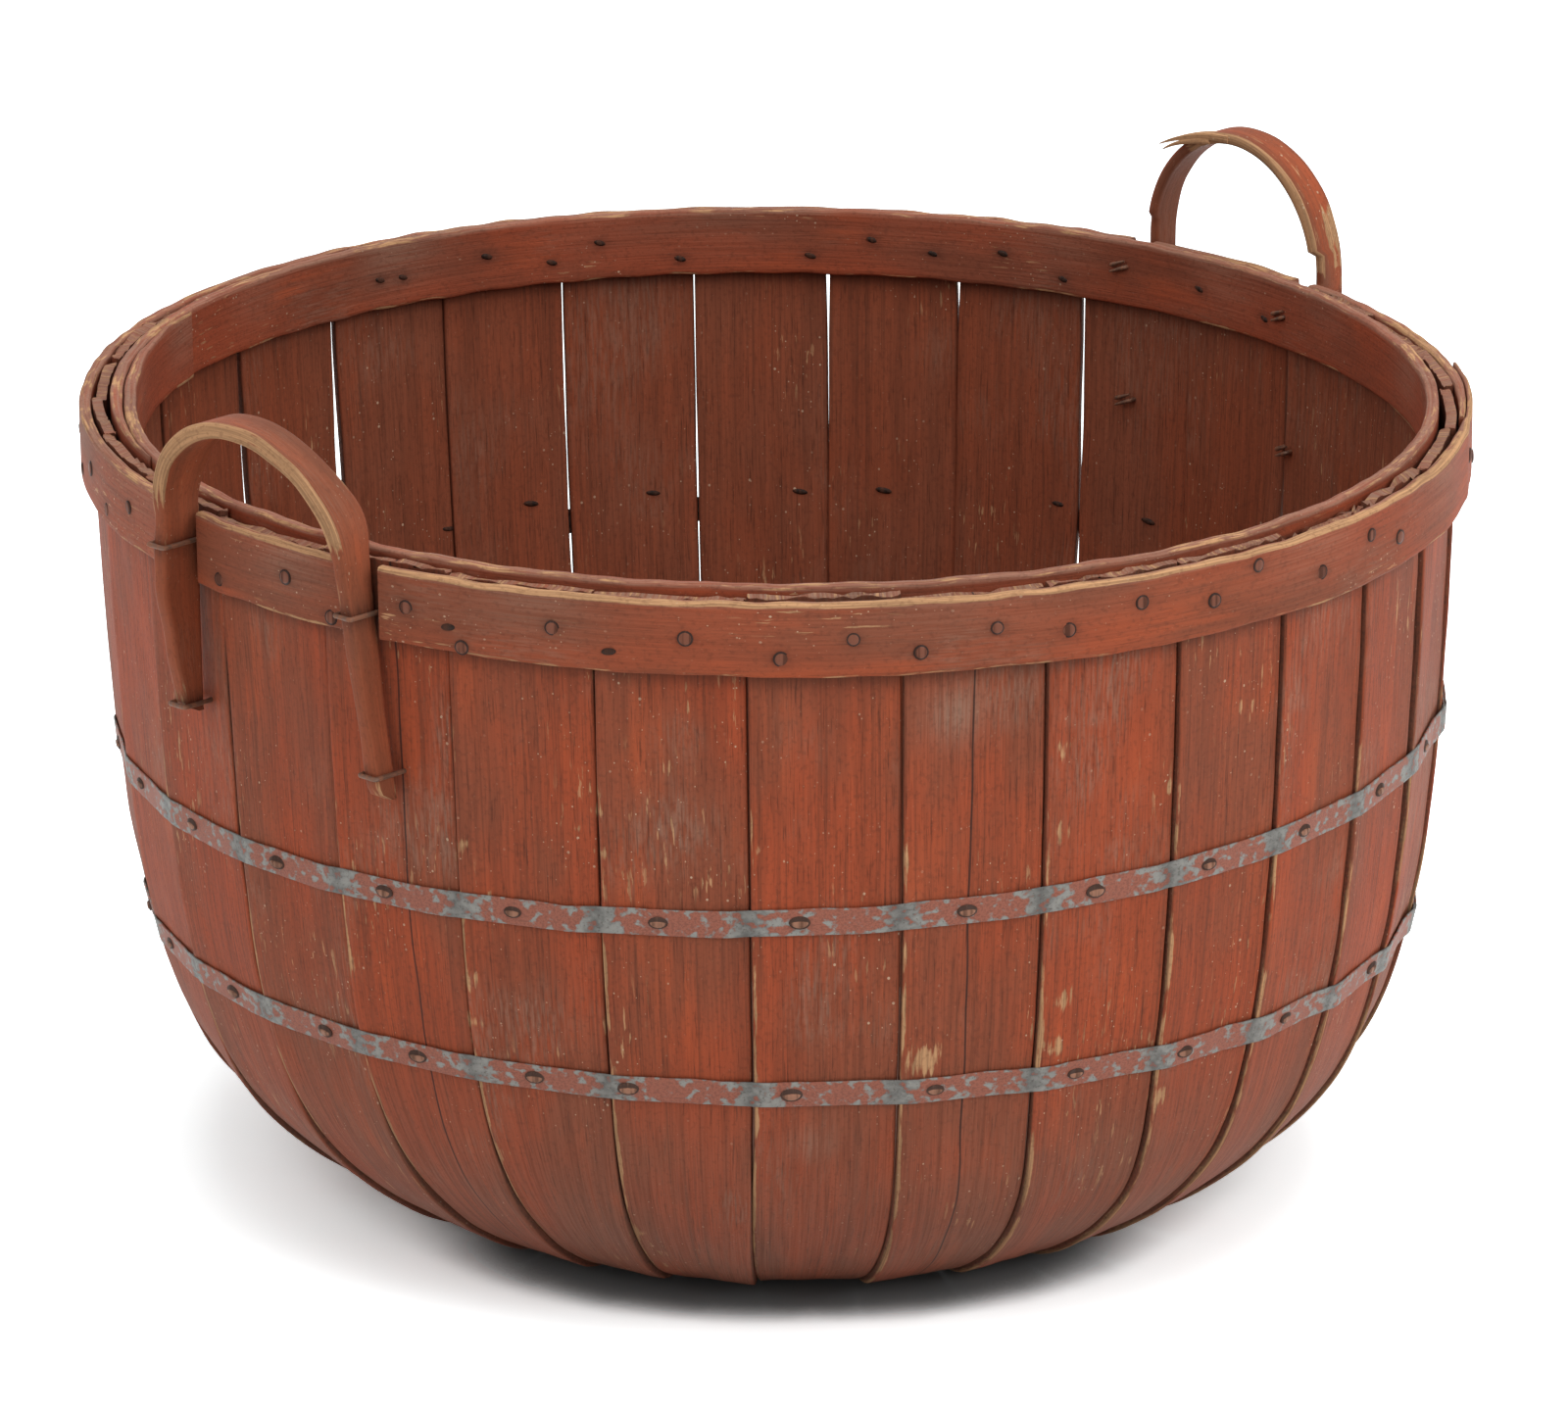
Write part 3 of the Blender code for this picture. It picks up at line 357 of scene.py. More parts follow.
def painted_wood(name, paint, dull, inner, streaks=1.0):
    """Worn paint over split wood.

    Colour: paint varied along the grain, dark pores, pale chips and flecks, grey scuffs, bare wood
    where the mark "worn" is high, pale paint where "rubbed" is, a dark colour where the mark for
    dirt and shade is high, which stands for dirt and for painted shade, rust round nails where
    "stain" is and a crack at the distance "crack" from the left edge.
    """
    material, tree, shader = new_material(name)
    place = grain_place(tree)
    inside = mark(tree, "inside")
    noise = {kind: speckle(tree, place, *waves) for kind, waves in PAINT_NOISE.items()}
    thin, grit, ragged, patch = (noise[kind] for kind in ("thin", "grit", "ragged", "patch"))
    dark = darker(dull, 0.45)
    tone = add_node(tree, "TexWhiteNoise", {"W": mark(tree, "piece")}, noise_dimensions='1D').outputs["Value"]
    broad = combine(tree, 'ADD', noise["broad"], fade(tree, tone, 0.0, 1.0, -0.04, 0.04))
    colour = tint(tree, inside, paint, inner)
    colour = tint(tree, fade(tree, broad, 0.40, 0.66, 0.0, 0.75), colour, dull)
    colour = tint(tree, fade(tree, noise["streak"], 0.28, 0.62, 0.30 * streaks, 0.0), colour, dark)
    colour = tint(tree, fade(tree, thin, 0.30, 0.60, 0.36 * streaks, 0.0), colour, dark)
    fresh = combine(tree, 'MULTIPLY', fade(tree, noise["fresh"], 0.50, 0.70),
                    fade(tree, noise["streak"], 0.36, 0.66, 0.06, 0.42),
                    fade(tree, inside, 0.0, 1.0, 1.0, 0.25))
    colour = tint(tree, fresh, colour, FRESH_PAINT)
    colour = tint(tree, fade(tree, noise["lines"], 0.55, 0.68, 0.0, 0.42 * streaks), colour, dark)
    pore = fade(tree, noise["pores"], 0.58, 0.72, 0.0, 0.50 * streaks)
    colour = tint(tree, pore, colour, darker(dull, 0.20))
    scuff = combine(tree, 'MULTIPLY', fade(tree, noise["scuff"], 0.50, 0.68),
                    fade(tree, noise["scratch"], 0.36, 0.70),
                    fade(tree, inside, 0.0, 1.0, 0.46 * streaks, 0.26))
    rubbed = combine(tree, 'MULTIPLY', mark(tree, "rubbed"), fade(tree, thin, 0.36, 0.62, 0.35, 1.0))
    colour = tint(tree, combine(tree, 'MAXIMUM', scuff, rubbed), colour, PALE_PAINT)
    wood = tint(tree, fade(tree, thin, 0.35, 0.65), darker(BARE_WOOD, 0.60), BARE_WOOD)
    chips = combine(tree, 'MULTIPLY', fade(tree, patch, 0.56, 0.68), fade(tree, ragged, 0.62, 0.67), 0.8)
    colour = tint(tree, chips, colour, wood)
    edge = fade(tree, weighted(tree, (mark(tree, "worn"), 1.0), (ragged, 1.1)), 1.16, 1.34)
    colour = tint(tree, edge, colour, wood)
    for fine, chance in FLECKS:
        cell = add_node(tree, "VectorMath", {0: place, 1: (fine, 0.8 * fine, 9.0)}, operation='MULTIPLY')
        dots = add_node(tree, "TexVoronoi", {"Vector": cell.outputs[0], "Scale": 1.0}).outputs
        parts = add_node(tree, "SeparateColor", {0: dots["Color"]}).outputs
        depth = combine(tree, 'SUBTRACT', fade(tree, parts[1], 0.0, 1.0, 0.08, 0.30), dots["Distance"])
        fleck = combine(tree, 'MULTIPLY', fade(tree, parts[0], chance, chance + 0.02),
                        fade(tree, depth, -0.04, 0.04), fade(tree, patch, 0.44, 0.62, 0.10, 0.75))
        colour = tint(tree, fleck, colour, FLECK)
    colour = tint(tree, fade(tree, grit, 0.30, 0.50, 0.28, 0.0), colour, GRIME)
    # Dirt and painted shade where the mark for dirt and shade is high
    dirt = combine(tree, 'MULTIPLY', mark(tree, "dirt"), fade(tree, grit, 0.25, 0.75, 0.55, 1.0))
    colour = tint(tree, dirt, colour, DIRT_AND_SHADE)
    stain = combine(tree, 'MULTIPLY', mark(tree, "stain"), fade(tree, ragged, 0.30, 0.60, 0.5, 1.0))
    colour = tint(tree, stain, colour, RUST_STAIN)
    across = add_node(tree, "SeparateXYZ", {0: place}).outputs[0]
    from_crack = weighted(tree, (across, 1.0), (noise["bent"], CRACK_BEND), (mark(tree, "crack"), -1.0))
    from_crack = add_node(tree, "Math", {0: from_crack}, operation='ABSOLUTE').outputs[0]
    colour = tint(tree, fade(tree, from_crack, *CRACK_EDGES, 0.85, 0.0), colour, CRACK_DARK)
    height = weighted(tree, (thin, 0.45), (pore, -0.6), (grit, 0.35), (edge, -0.25))
    coat(shader, colour, fade(tree, edge, 0.0, 1.0, 0.68, 0.82), PAINT_GLOSS, height, WOOD_BUMPS)
    return material


def bent_line(stations):
    """Height, radius and length along the bend, foot first.

    The bend is the straight runs between the profile's points, each place then averaged over a
    short stretch around it, which rounds the corners.
    """
    key = np.array(PROFILE_SHARES) * (RIM_TOP, STAVE_RADIUS)
    length = travelled(key)
    at = np.append(np.linspace(0.0, length[-1] - TOP_EDGE, stations - 1), length[-1])
    half = np.minimum(BEND_ROUNDING / 2, np.minimum(at, length[-1] - at))
    near = at + np.linspace(-1.0, 1.0, 9)[:, None] * half
    return (*(np.interp(near, length, key[:, axis]).mean(axis=0) for axis in (0, 1)), at)


bend_height, bend_radius, bend_length = bent_line(STAVE_STATIONS)
bend_slope = unit(np.stack([np.gradient(bend_height), -np.gradient(bend_radius)], axis=-1)).T
seam_turns = FIRST_SEAM + np.concatenate([[0.0], np.cumsum(
    360.0 * np.array(WIDTH_SHARES) / sum(WIDTH_SHARES))])


def ray_to_wall(pixel, radius, far):
    """Where the camera sees a pixel on an oval wall of that radius, on its far or near side.

    The sight line is cut with a circle, whose radius is then corrected for the oval, four times.
    """
    aim = Vector((pixel[0] - PHOTO_CENTRE[0], PHOTO_CENTRE[1] - pixel[1], -PHOTO_FOCUS))
    ray = np.array(camera_place.to_3x3() @ aim)
    eye = np.array(camera_place.translation)
    reach = radius
    for _ in range(4):
        square = ray[:2] @ ray[:2]
        half = eye[:2] @ ray[:2]
        root = math.sqrt(half * half - square * (eye[:2] @ eye[:2] - reach * reach))
        spot = eye + ray * ((-half + root if far else -half - root) / square)
        angle = math.degrees(math.atan2(spot[1], spot[0]))
        reach = radius * float(oval(angle))
    return angle, spot[2]


def bend_reach(height):
    """Radius of the bend at a height."""
    return np.interp(height, bend_height, bend_radius)


def worn_spot(pixel):
    """The point of the near wall that the camera sees at a pixel: its radius is found in steps."""
    reach = STAVE_RADIUS
    for _ in range(6):
        turn, height = ray_to_wall(pixel, reach, False)
        reach = bend_reach(height)
    return polar(turn, reach * oval(turn), height)


def stave_edge(seam, side, step):
    """One edge line of a stave: the seam's direction at the bend's radius, moved out by step.

    side is 1 for the left edge and -1 for the right one, which each keep half the seam's width.
    """
    low = np.clip(1.0 - bend_height / (DRIFT_HEIGHT_SHARE * RIM_TOP), 0.0, 1.0)
    drift = DRIFT_SHARES.get(seam % STAVE_COUNT, 0.0) * 360.0 / STAVE_COUNT
    wide = TOP_SEAMS.get(seam % STAVE_COUNT, (SEAM_WIDTH,) * 3)
    gap = np.interp(bend_height, SEAM_HEIGHTS, (SEAM_WIDTH, *wide))
    wander = waver(bend_length, SEAM_WANDER_LENGTH, 40 + seam % STAVE_COUNT)
    gap = gap * (1.0 + SEAM_WANDER * wander)
    radius = bend_radius + step * bend_slope[0]
    turn = seam_turns[seam] + drift * low * low * (3.0 - 2.0 * low)
    turn = turn + side * np.degrees(gap / 2 / radius)
    return polar(turn, radius * oval(turn), bend_height + step * bend_slope[1])


def stave_frame(index):
    """Left and right edge lines of a stave, the unit line across it and the one out of it."""
    place = (index - FRONT_STAVE + STAVE_COUNT // 2) % STAVE_COUNT - STAVE_COUNT // 2
    left_low = math.copysign(TURN_STEP / 2, place if place else -1)
    right_low = -left_low if place and abs(place) < STAVE_COUNT // 2 else left_low
    left, right = (
        stave_edge(seam, side, np.interp(bend_height / RIM_TOP, STEP_HEIGHT_SHARES,
                                         (0.0, low, low, side * EDGE_STEP / 2, side * EDGE_STEP / 2)))
        for seam, side, low in ((index, 1, left_low), (index + 1, -1, right_low)))
    over = unit(right - left)
    return left, right, over, unit(np.cross(over, np.gradient((left + right) / 2, axis=0)))


def spot_marks(points, spots):
    """The highest of the spots' marks at each point: strength times exp(-(distance / size) squared)."""
    found = np.zeros(points.shape[:2])
    for middle, size, strength in spots:
        away = np.linalg.norm(points - middle, axis=-1)
        found = np.maximum(found, strength * np.exp(-(away / size) ** 2))
    return found


def stave_mesh(index):
    """A stave: its rounded section carried along the bend between its two edge lines.

    The face ripples by a fraction of a millimetre, and the sawn top is ragged.
    """
    left, right, over, out = stave_frame(index)
    through, through_cut, across, across_cut = rounded_section(STAVE_CORNER, STAVE_FILLS)
    share = bend_height[:, None] / RIM_TOP
    closing = np.interp(bend_height, CLOSED_HEIGHTS, ((SEAM_WIDTH - SEAM_CLOSED) / 2, 0.0))[:, None]
    aside = across_cut + (1.0 - through) * closing * np.sign(across - 0.5)
    cup = STAVE_CUP * (0.5 - np.abs(across - 0.5)) * waver(np.array([0.3 * index]), 1.0, 5)
    ripple = STAVE_RIPPLE * waver(bend_length[:, None] + 0.11 * across, 0.09, 90 + index)
    bulge = STAVE_BULGE * np.interp(share, BULGE_SHARES, (0.0, 1.0)) * (1.0 - (2.0 * across - 1.0) ** 2)
    depth = (through - 1.0) * STAVE_THICKNESS + through_cut + cup + ripple + bulge - FACE_SINK
    points = left[:, None] + across[:, None] * (right - left)[:, None]
    points = points + aside[..., None] * over[:, None] + depth[..., None] * out[:, None]
    chance = np.random.default_rng(700 + index)
    top = np.interp(bend_height, (RIM_TOP - TOP_REACH, RIM_TOP), (0.0, 1.0))[:, None]
    points[..., 2] += top * TOP_WANDER * math.sin(math.radians(WANDER_TURN * index))
    cut = points[-1, :, 2] - chance.uniform(0.0, RAGGED_TOPS.get(index, RAGGED_TOP), len(across))
    points[..., 2] = np.minimum(points[..., 2], cut + CUT_SLOPE * (points[..., 2] - RIM_TOP))
    points[..., 2] = np.maximum(points[..., 2], 0.0)
    width = np.linalg.norm(right - left, axis=-1).mean()
    ring = np.stack([through * STAVE_THICKNESS + through_cut, across * width + across_cut])
    outer = through > 0.5
    ebb = 0.5 + 0.5 * waver(bend_length[:, None], 0.13, 300 + index)
    edge = (across < 0.01) * (LEFT_WEAR[0] + LEFT_WEAR[1] * ebb) + (across > 0.99) * RIGHT_WEAR * (1.0 - ebb)
    worn = np.maximum(edge * np.interp(share, *EDGE_WEAR), spot_marks(points, worn_spots)) * outer
    dusty = np.interp(share, *LOW_DUST) * (0.55 + 0.45 * ebb)
    rubbed = np.maximum(spot_marks(points, rubbed_spots), dusty) * outer
    # Darker towards the bottom outside and inside, and painted shade under both hoops and on the side faces
    # in the seams
    dirt = np.where(outer, np.maximum(np.interp(share, *UNDER_HOOP_SHADE), np.interp(share, *FOOT_DARKENING)),
                    np.maximum(np.interp(share, *LOW_INSIDE_DARKENING), np.interp(share, *UNDER_INNER_HOOP_SHADE)))
    dirt = np.maximum(dirt, SEAM_SIDE_SHADE * (np.abs(through_cut) > 0.7 * STAVE_CORNER))
    inside = np.broadcast_to(~outer, dirt.shape).astype(float)
    inside[-1], dirt[-1], worn[-1], rubbed[-1] = TOP_MARKS
    return board_mesh(f"stave_board_{index + 1:02d}", points, ring, bend_length, piece=index + 1.0,
                      inside=inside, worn=worn, rubbed=rubbed, dirt=dirt, crack=CRACK_PLACES.get(index, -1.0))


worn_spots, rubbed_spots = ([(worn_spot(pixel), size, strength) for pixel, size, strength in spots]
                            for spots in (WORN_SPOTS, RUBBED_SPOTS))
stave_paint = painted_wood("stave_paint", PAINT, DULL_PAINT, INNER_PAINT)
for index in range(STAVE_COUNT):
    place_piece(stave_mesh(index), stave_paint, "painted_wood", f"stave_{index + 1:02d}")

# The bottom board is one round of pine on the stave feet, hidden from the side. It is bare inside
# apart from dust and a thin red wash, with its grain along one direction.
WASH_DARK = (0.105, 0.044, 0.028)
WASH_LIGHT = (0.16, 0.062, 0.038)
BOARD_DUST = (0.20, 0.14, 0.105)

board_wash, tree, shader = new_material("board_wash")
spot = add_node(tree, "TexCoord").outputs["Object"]
grain = speckle(tree, spot, 9.0, 260.0, 2.0, 4.0)
dust = speckle(tree, spot, 30.0, 30.0, 8.0, 4.0)
wash = tint(tree, fade(tree, grain, 0.30, 0.70), WASH_DARK, WASH_LIGHT)
wash = tint(tree, fade(tree, dust, 0.40, 0.75, 0.0, 0.4), wash, BOARD_DUST)
coat(shader, wash, 0.85, 0.5, grain, (0.5, 0.0006))
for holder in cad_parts["bottom_board"].material_slots:
    holder.material = board_wash

# Two rim hoops of bent ash hold the stave tops between them. The inner one laps itself with shaved
# ends; the outer one is in pieces, because the handle legs pass through it, and its front piece
# laps over the right rear one. Their top corners are rubbed bare.
HOOP_HEIGHT = 0.034
OUTER_HOOP_THICKNESS = 0.0056
INNER_HOOP_THICKNESS = 0.0060
INNER_HOOP_RISE = 0.0035
HOOP_CORNER = 0.0013
HOOP_STEP = 0.5                 # degrees from one section to the next
HOOP_RIPPLE = 0.00022
RAGGED_EDGE = 0.0004
FIT_GAP = 0.0003
INNER_LAP = (108.0, 156.0)
OUTER_LAP = (-56.0, -40.0)
LAP_FULL = -44.0                # there the piece under the front one has its whole thickness
TAPER_SPAN = 20.0
TIP_SHARES = (0.15, 0.45, 0.35) # thickness left at the inner, right rear and front tips
RIDE_UP_SHARE = 0.45            # how far the front piece lifts before its lap, and over what turn
RIDE_UP_SPAN = 9.0
LAP_EASE = 4.0                  # degrees over which a hoop changes its course beside its lap
UNDER_WIDEST = math.cos(math.radians(6.8))      # a flat stave's middle against its edges
CORNER_SHARES = {"outer_hoop_front": 1.0, "outer_hoop_near": 0.85}      # how bare their top corners are
CORNER_SHARE = 0.54
HOOP_PAINTS = ((0.322, 0.070, 0.029), (0.190, 0.061, 0.032))
INNER_HOOP_PAINTS = ((0.305, 0.063, 0.027), (0.180, 0.054, 0.029))
# Painted shade: the dark colour of the hoop faces that lie against the staves
HIDDEN_FACE_SHADE = (0.06, 0.03, 0.022)
STAIN_SIZE = 0.0052             # of the rust round a nail

outer_face = STAVE_RADIUS + EDGE_STEP / 2 + FIT_GAP
inner_face = STAVE_RADIUS * UNDER_WIDEST - EDGE_STEP / 4 - STAVE_THICKNESS - FIT_GAP


def hoop_mesh(name, angle, radius, thickness, low, seed, nails, worn_corner):
    """A strip on edge: its rounded section carried round the basket at a radius and a thickness.

    worn_corner is how bare the top outer corner is rubbed, or -1 where the inner one is.
    """
    through, through_cut, across, across_cut = rounded_section(HOOP_CORNER, 9)
    travel = np.radians(angle) * STAVE_RADIUS
    cut = np.minimum(thickness[:, None] / (3 * HOOP_CORNER), 1.0) * through_cut
    depth = through * thickness[:, None] + cut
    depth = depth + HOOP_RIPPLE * waver(travel, 0.12, seed)[:, None] * through - FACE_SINK * (through > 0.5)
    lift = across * HOOP_HEIGHT + across_cut
    for number, sign, length, edge in ((1, -1, 0.05, across > 0.99), (2, 1, 0.07, across < 0.01)):
        lift = lift + sign * RAGGED_EDGE * (1.0 + waver(travel, length, seed + number)[:, None]) * edge
    points = polar(angle[:, None], radius[:, None] + depth, low + lift)
    ring = np.stack([through * OUTER_HOOP_THICKNESS + through_cut, across * HOOP_HEIGHT + across_cut])
    facing = (through > 0.5) if worn_corner > 0 else (through < 0.5)
    ebb = 0.5 + 0.5 * waver(travel, 0.2, seed + 3)[:, None]
    bare = 0.88 * worn_corner if worn_corner > 0 else 0.40
    worn = (np.where(facing, bare, 0.46) + 0.30 * ebb) * (across > 0.99)
    worn = worn + facing * (across < 0.01) * (0.36 + 0.42 * ebb)
    rubbed = np.maximum(0.55 * ebb ** 2 * facing * across, 0.60 * (across > 0.99))
    stain = np.zeros(points.shape[:2])
    for nail in nails:
        away = np.linalg.norm((points - nail) * (1.0, 1.0, 1.6), axis=-1)
        stain = np.maximum(stain, 0.55 * np.exp(-(away / STAIN_SIZE) ** 2))
    # The faces against the staves are painted dark as shade between hoop and staves: the hidden face colour
    # and the mark for dirt and shade
    hidden = ~facing & (across < 0.8)
    return board_mesh(name, points, ring, travel, piece=seed, inside=hidden, worn=worn,
                      rubbed=rubbed, dirt=0.6 * hidden, stain=stain)


def hoop_span(node):
    """First and last direction of a hoop piece's solid, in degrees, from its own points."""
    corners = np.array([vertex.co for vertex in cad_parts[node].data.vertices])
    middle = math.atan2(corners[:, 1].mean(), corners[:, 0].mean())
    away = np.arctan2(corners[:, 1], corners[:, 0]) - middle
    away = (away + math.pi) % (2.0 * math.pi) - math.pi
    return math.degrees(middle + away.min()), math.degrees(middle + away.max())


# Nail heads seen on the outer hoop, as pixels of the photograph
HOOP_NAIL_PIXELS = (
    (196, 557), (197, 574), (224, 591), (291, 589), (338, 630), (414, 620), (471, 661), (563, 641),
    (699, 652), (797, 673), (871, 653), (940, 666), (1018, 641), (1091, 643), (1166, 615),
    (1240, 613), (1285, 577), (1349, 584), (1400, 546), (1429, 548))
BROKEN_NAIL_PIXELS = ((457, 640), (621, 665))   # nails whose heads have rusted off
# Nail points bent over on the inner hoop
INNER_POINT_PIXELS = (
    (388, 286), (411, 283), (497, 262), (563, 268), (612, 248), (694, 264), (827, 261), (890, 245),
    (952, 259), (1024, 259), (1085, 285), (1224, 295), (1290, 325))
NAIL_PAIRS = 30
HIDDEN_NAIL_SHARES = (0.17, 0.67)
NAIL_STAGGER = 0.005
NAIL_MARGINS = (0.8, 1.0)       # degrees that a nail keeps from a piece's end and from the lap over it
NAIL_LINE = RIM_TOP - HOOP_HEIGHT / 2 - 0.004
SEEN_SPAN = (-190.0, -60.0)     # directions in which the photograph shows the hoop's nails
# Half the width, half the height and the depth of each kind of nail head or bent point
HEAD_SIZE = (0.0029, 0.0029, 0.0009)
BROKEN_SIZE = (0.0032, 0.0015, 0.0005)
POINT_SIZE = (0.0026, 0.0012, 0.0009)
HEAD_SINK = 0.0003
POINT_LIFT = 0.0002
HEAD_TILT = 0.10                # how far a head leans at most, and its least and greatest size
HEAD_SWELL = (0.9, 1.08)
HEAD_SIDES = 16
# A nail head from its middle out: distance, height and how dark. It ends in a flat ring of rust
# and painted shade round the head.
HEAD_PROFILE = ((0.5, 0.98, 0.0), (0.75, 0.88, 0.1), (0.88, 0.68, 0.4), (0.95, 0.40, 0.9),
                (1.14, 0.40, 0.8), (1.14, -0.60, 0.8))
NAIL_PAINT = (0.180, 0.062, 0.036)
# Rust and painted shade in the ring round each hoop nail head
NAIL_RING = (0.030, 0.014, 0.010)
NAIL_IRON = (0.022, 0.013, 0.010)
NAIL_RUST = (0.065, 0.027, 0.017)
METAL_BUMPS = (0.5, 0.0003)

seen_nails = [ray_to_wall(pixel, outer_face + OUTER_HOOP_THICKNESS, False) for pixel in HOOP_NAIL_PIXELS]
seen_points = [ray_to_wall(pixel, inner_face - INNER_HOOP_THICKNESS, True) for pixel in INNER_POINT_PIXELS]
hidden_nails = [((pair + share) * 360.0 / NAIL_PAIRS, NAIL_LINE + side * NAIL_STAGGER)
                for pair in range(NAIL_PAIRS) for share, side in zip(HIDDEN_NAIL_SHARES, (1, -1))]


def turn_inside(angle, start, end):
    """The same direction, counted so that it lies after start, if it lies before end; else None."""
    turned = start + (angle - start) % 360.0
    return turned if turned < end else None


def outer_hoop_lines(node, start, end):
    """Directions, inner face and thickness of a piece of the outer hoop, with its shaved tips."""
    angle = np.linspace(start, end, int((end - start) / HOOP_STEP) + 2)
    radius = outer_face * oval(angle)
    share = np.ones_like(angle)
    under = np.interp(angle, (OUTER_LAP[0], LAP_FULL), (TIP_SHARES[1], 1.0))
    if node == "outer_hoop_right":
        share = under
    if node == "outer_hoop_front":
        rise = RIDE_UP_SHARE * np.interp(angle, (OUTER_LAP[0] - RIDE_UP_SPAN, OUTER_LAP[0]), (0.0, 1.0)) ** 2
        radius = radius + np.where(angle < OUTER_LAP[0], OUTER_HOOP_THICKNESS * rise,
                                   OUTER_HOOP_THICKNESS * under + FIT_GAP)
        share = np.interp(angle, (OUTER_LAP[0] - LAP_EASE, OUTER_LAP[0], OUTER_LAP[1]),
                          (1.0, 1.0 - TIP_SHARES[1], TIP_SHARES[2]))
    return angle, radius, OUTER_HOOP_THICKNESS * share


def square_to(way, side):
    """The part of side that lies square to way, at length one."""
    return unit(side - way * (side @ way))


def dome_mesh(name, places, size, upper=1.0):
    """Nail heads: the profile turned about each head's axis and stretched to its size.

    places holds, for each head, its foot, its axis and a direction for its long side. upper
    flattens the half of the head on the other side, but not the ring of rust and painted shade round it.
    """
    reach, rise, dark = np.array(HEAD_PROFILE).T[..., None]
    turn = np.linspace(0.0, 2.0 * math.pi, HEAD_SIDES, endpoint=False)
    squash = np.where((np.sin(turn) > 0.0) & (reach < 1.0), upper, 1.0)
    flat = np.stack(np.broadcast_arrays(reach * np.cos(turn), squash * reach * np.sin(turn), rise), axis=-1)
    head = np.concatenate([[(0.0, 0.0, 1.0)], flat.reshape(-1, 3)]) * size
    shade = np.append(0.0, np.broadcast_to(dark, flat.shape[:2]).ravel())
    step = np.arange(HEAD_SIDES)
    after = (step + 1) % HEAD_SIDES
    faces = [[0, 1 + a, 1 + b] for a, b in zip(step, after)]
    last = 1 + (len(HEAD_PROFILE) - 1) * HEAD_SIDES
    for low in range(1, last, HEAD_SIDES):
        faces += [[low + a, low + HEAD_SIDES + a, low + HEAD_SIDES + b, low + b] for a, b in zip(step, after)]
    faces.append([last + a for a in step[::-1]])
    chance = np.random.default_rng(len(places))
    points, polygons = [], []
    for foot, axis, long_side in places:
        axis = unit(np.array(axis))
        tilt = unit(axis + HEAD_TILT * chance.uniform(-1.0, 1.0, 3))
        side = square_to(tilt, square_to(axis, np.array(long_side)))
        swell = chance.uniform(*HEAD_SWELL)
        polygons += [[corner + len(head) * len(points) for corner in face] for face in faces]
        points.append(np.array(foot) + swell * head @ np.stack([side, np.cross(tilt, side), tilt]))
    mesh = bpy.data.meshes.new(name)
    mesh.from_pydata(np.concatenate(points).tolist(), [], polygons)
    shades = np.tile(shade, len(places)).astype(np.float32)
    mesh.attributes.new("dark", 'FLOAT', 'POINT').data.foreach_set("value", shades)
    mesh.shade_smooth()
    return mesh


def old_iron(name, base, spots, metal=0.0, ring=None):
    """Old iron, or its paint where a ring is given: a base with rust in spots, read from its position.

    The ring's colour, for rust and painted shade round the head, goes where the mark "dark" is high.
    """
    material, tree, shader = new_material(name)
    spot = add_node(tree, "TexCoord").outputs["Object"]
    rust = speckle(tree, spot, 420.0, 420.0, 1.0, 4.0)
    colour = tint(tree, fade(tree, rust, 0.40, 0.62), base, spots)
    if ring:
        rim = weighted(tree, (mark(tree, "dark"), 1.0), (speckle(tree, spot, 900.0, 900.0, 4.0), 0.7))
        colour = tint(tree, fade(tree, rim, 0.62, 1.2), colour, ring)
    rough = fade(tree, rust, 0.3, 0.7, 0.42, 0.8)
    coat(shader, colour, rough, PAINT_GLOSS if ring else metal, rust, METAL_BUMPS, metal)
    return material


hoop_paint = painted_wood("hoop_paint", *HOOP_PAINTS, HIDDEN_FACE_SHADE, 0.55)
inner_hoop_paint = painted_wood("inner_hoop_paint", *INNER_HOOP_PAINTS, HIDDEN_FACE_SHADE, 0.6)
nail_paint = old_iron("nail_paint", NAIL_PAINT, darker(NAIL_PAINT, 0.45), ring=NAIL_RING)
nail_iron = old_iron("nail_iron", NAIL_IRON, NAIL_RUST, 0.1)
all_nails = [place for place in hidden_nails if turn_inside(place[0], *SEEN_SPAN) is None] + seen_nails
hoop_heads = []
for node in ("outer_hoop_front", "outer_hoop_right", "outer_hoop_far", "outer_hoop_rear", "outer_hoop_near"):
    start, end = hoop_span(node)
    angle, radius, thickness = outer_hoop_lines(node, start, end)
    spots = []
    for turn, height in all_nails:
        turned = turn_inside(turn, start + NAIL_MARGINS[0], end - NAIL_MARGINS[0])
        if turned is None or (node == "outer_hoop_right" and turned < OUTER_LAP[1] + NAIL_MARGINS[1]):
            continue
        face = np.interp(turned, angle, radius + thickness)
        spots.append(polar(turned, face, height))
        hoop_heads.append((polar(turned, face - HEAD_SINK, height), polar(turned, 1.0, 0.0),
                           (0.0, 0.0, 1.0)))
    place_piece(hoop_mesh(node + "_strip", angle, radius, thickness, RIM_TOP - HOOP_HEIGHT,
                          40 + len(hoop_heads), spots, CORNER_SHARES.get(node, CORNER_SHARE)),
                hoop_paint, "painted_wood", node)
place_piece(dome_mesh("hoop_nail_heads", hoop_heads, HEAD_SIZE), nail_paint, "wire")
broken_places = [ray_to_wall(pixel, outer_face + OUTER_HOOP_THICKNESS, False) for pixel in BROKEN_NAIL_PIXELS]
broken_nails = [(polar(turn, (outer_face + OUTER_HOOP_THICKNESS) * oval(turn), height),
                 polar(turn, 1.0, 0.0), polar(turn + 90.0, 1.0, 0.1)) for turn, height in broken_places]
place_piece(dome_mesh("broken_nails", broken_nails, BROKEN_SIZE), nail_iron, "wire")

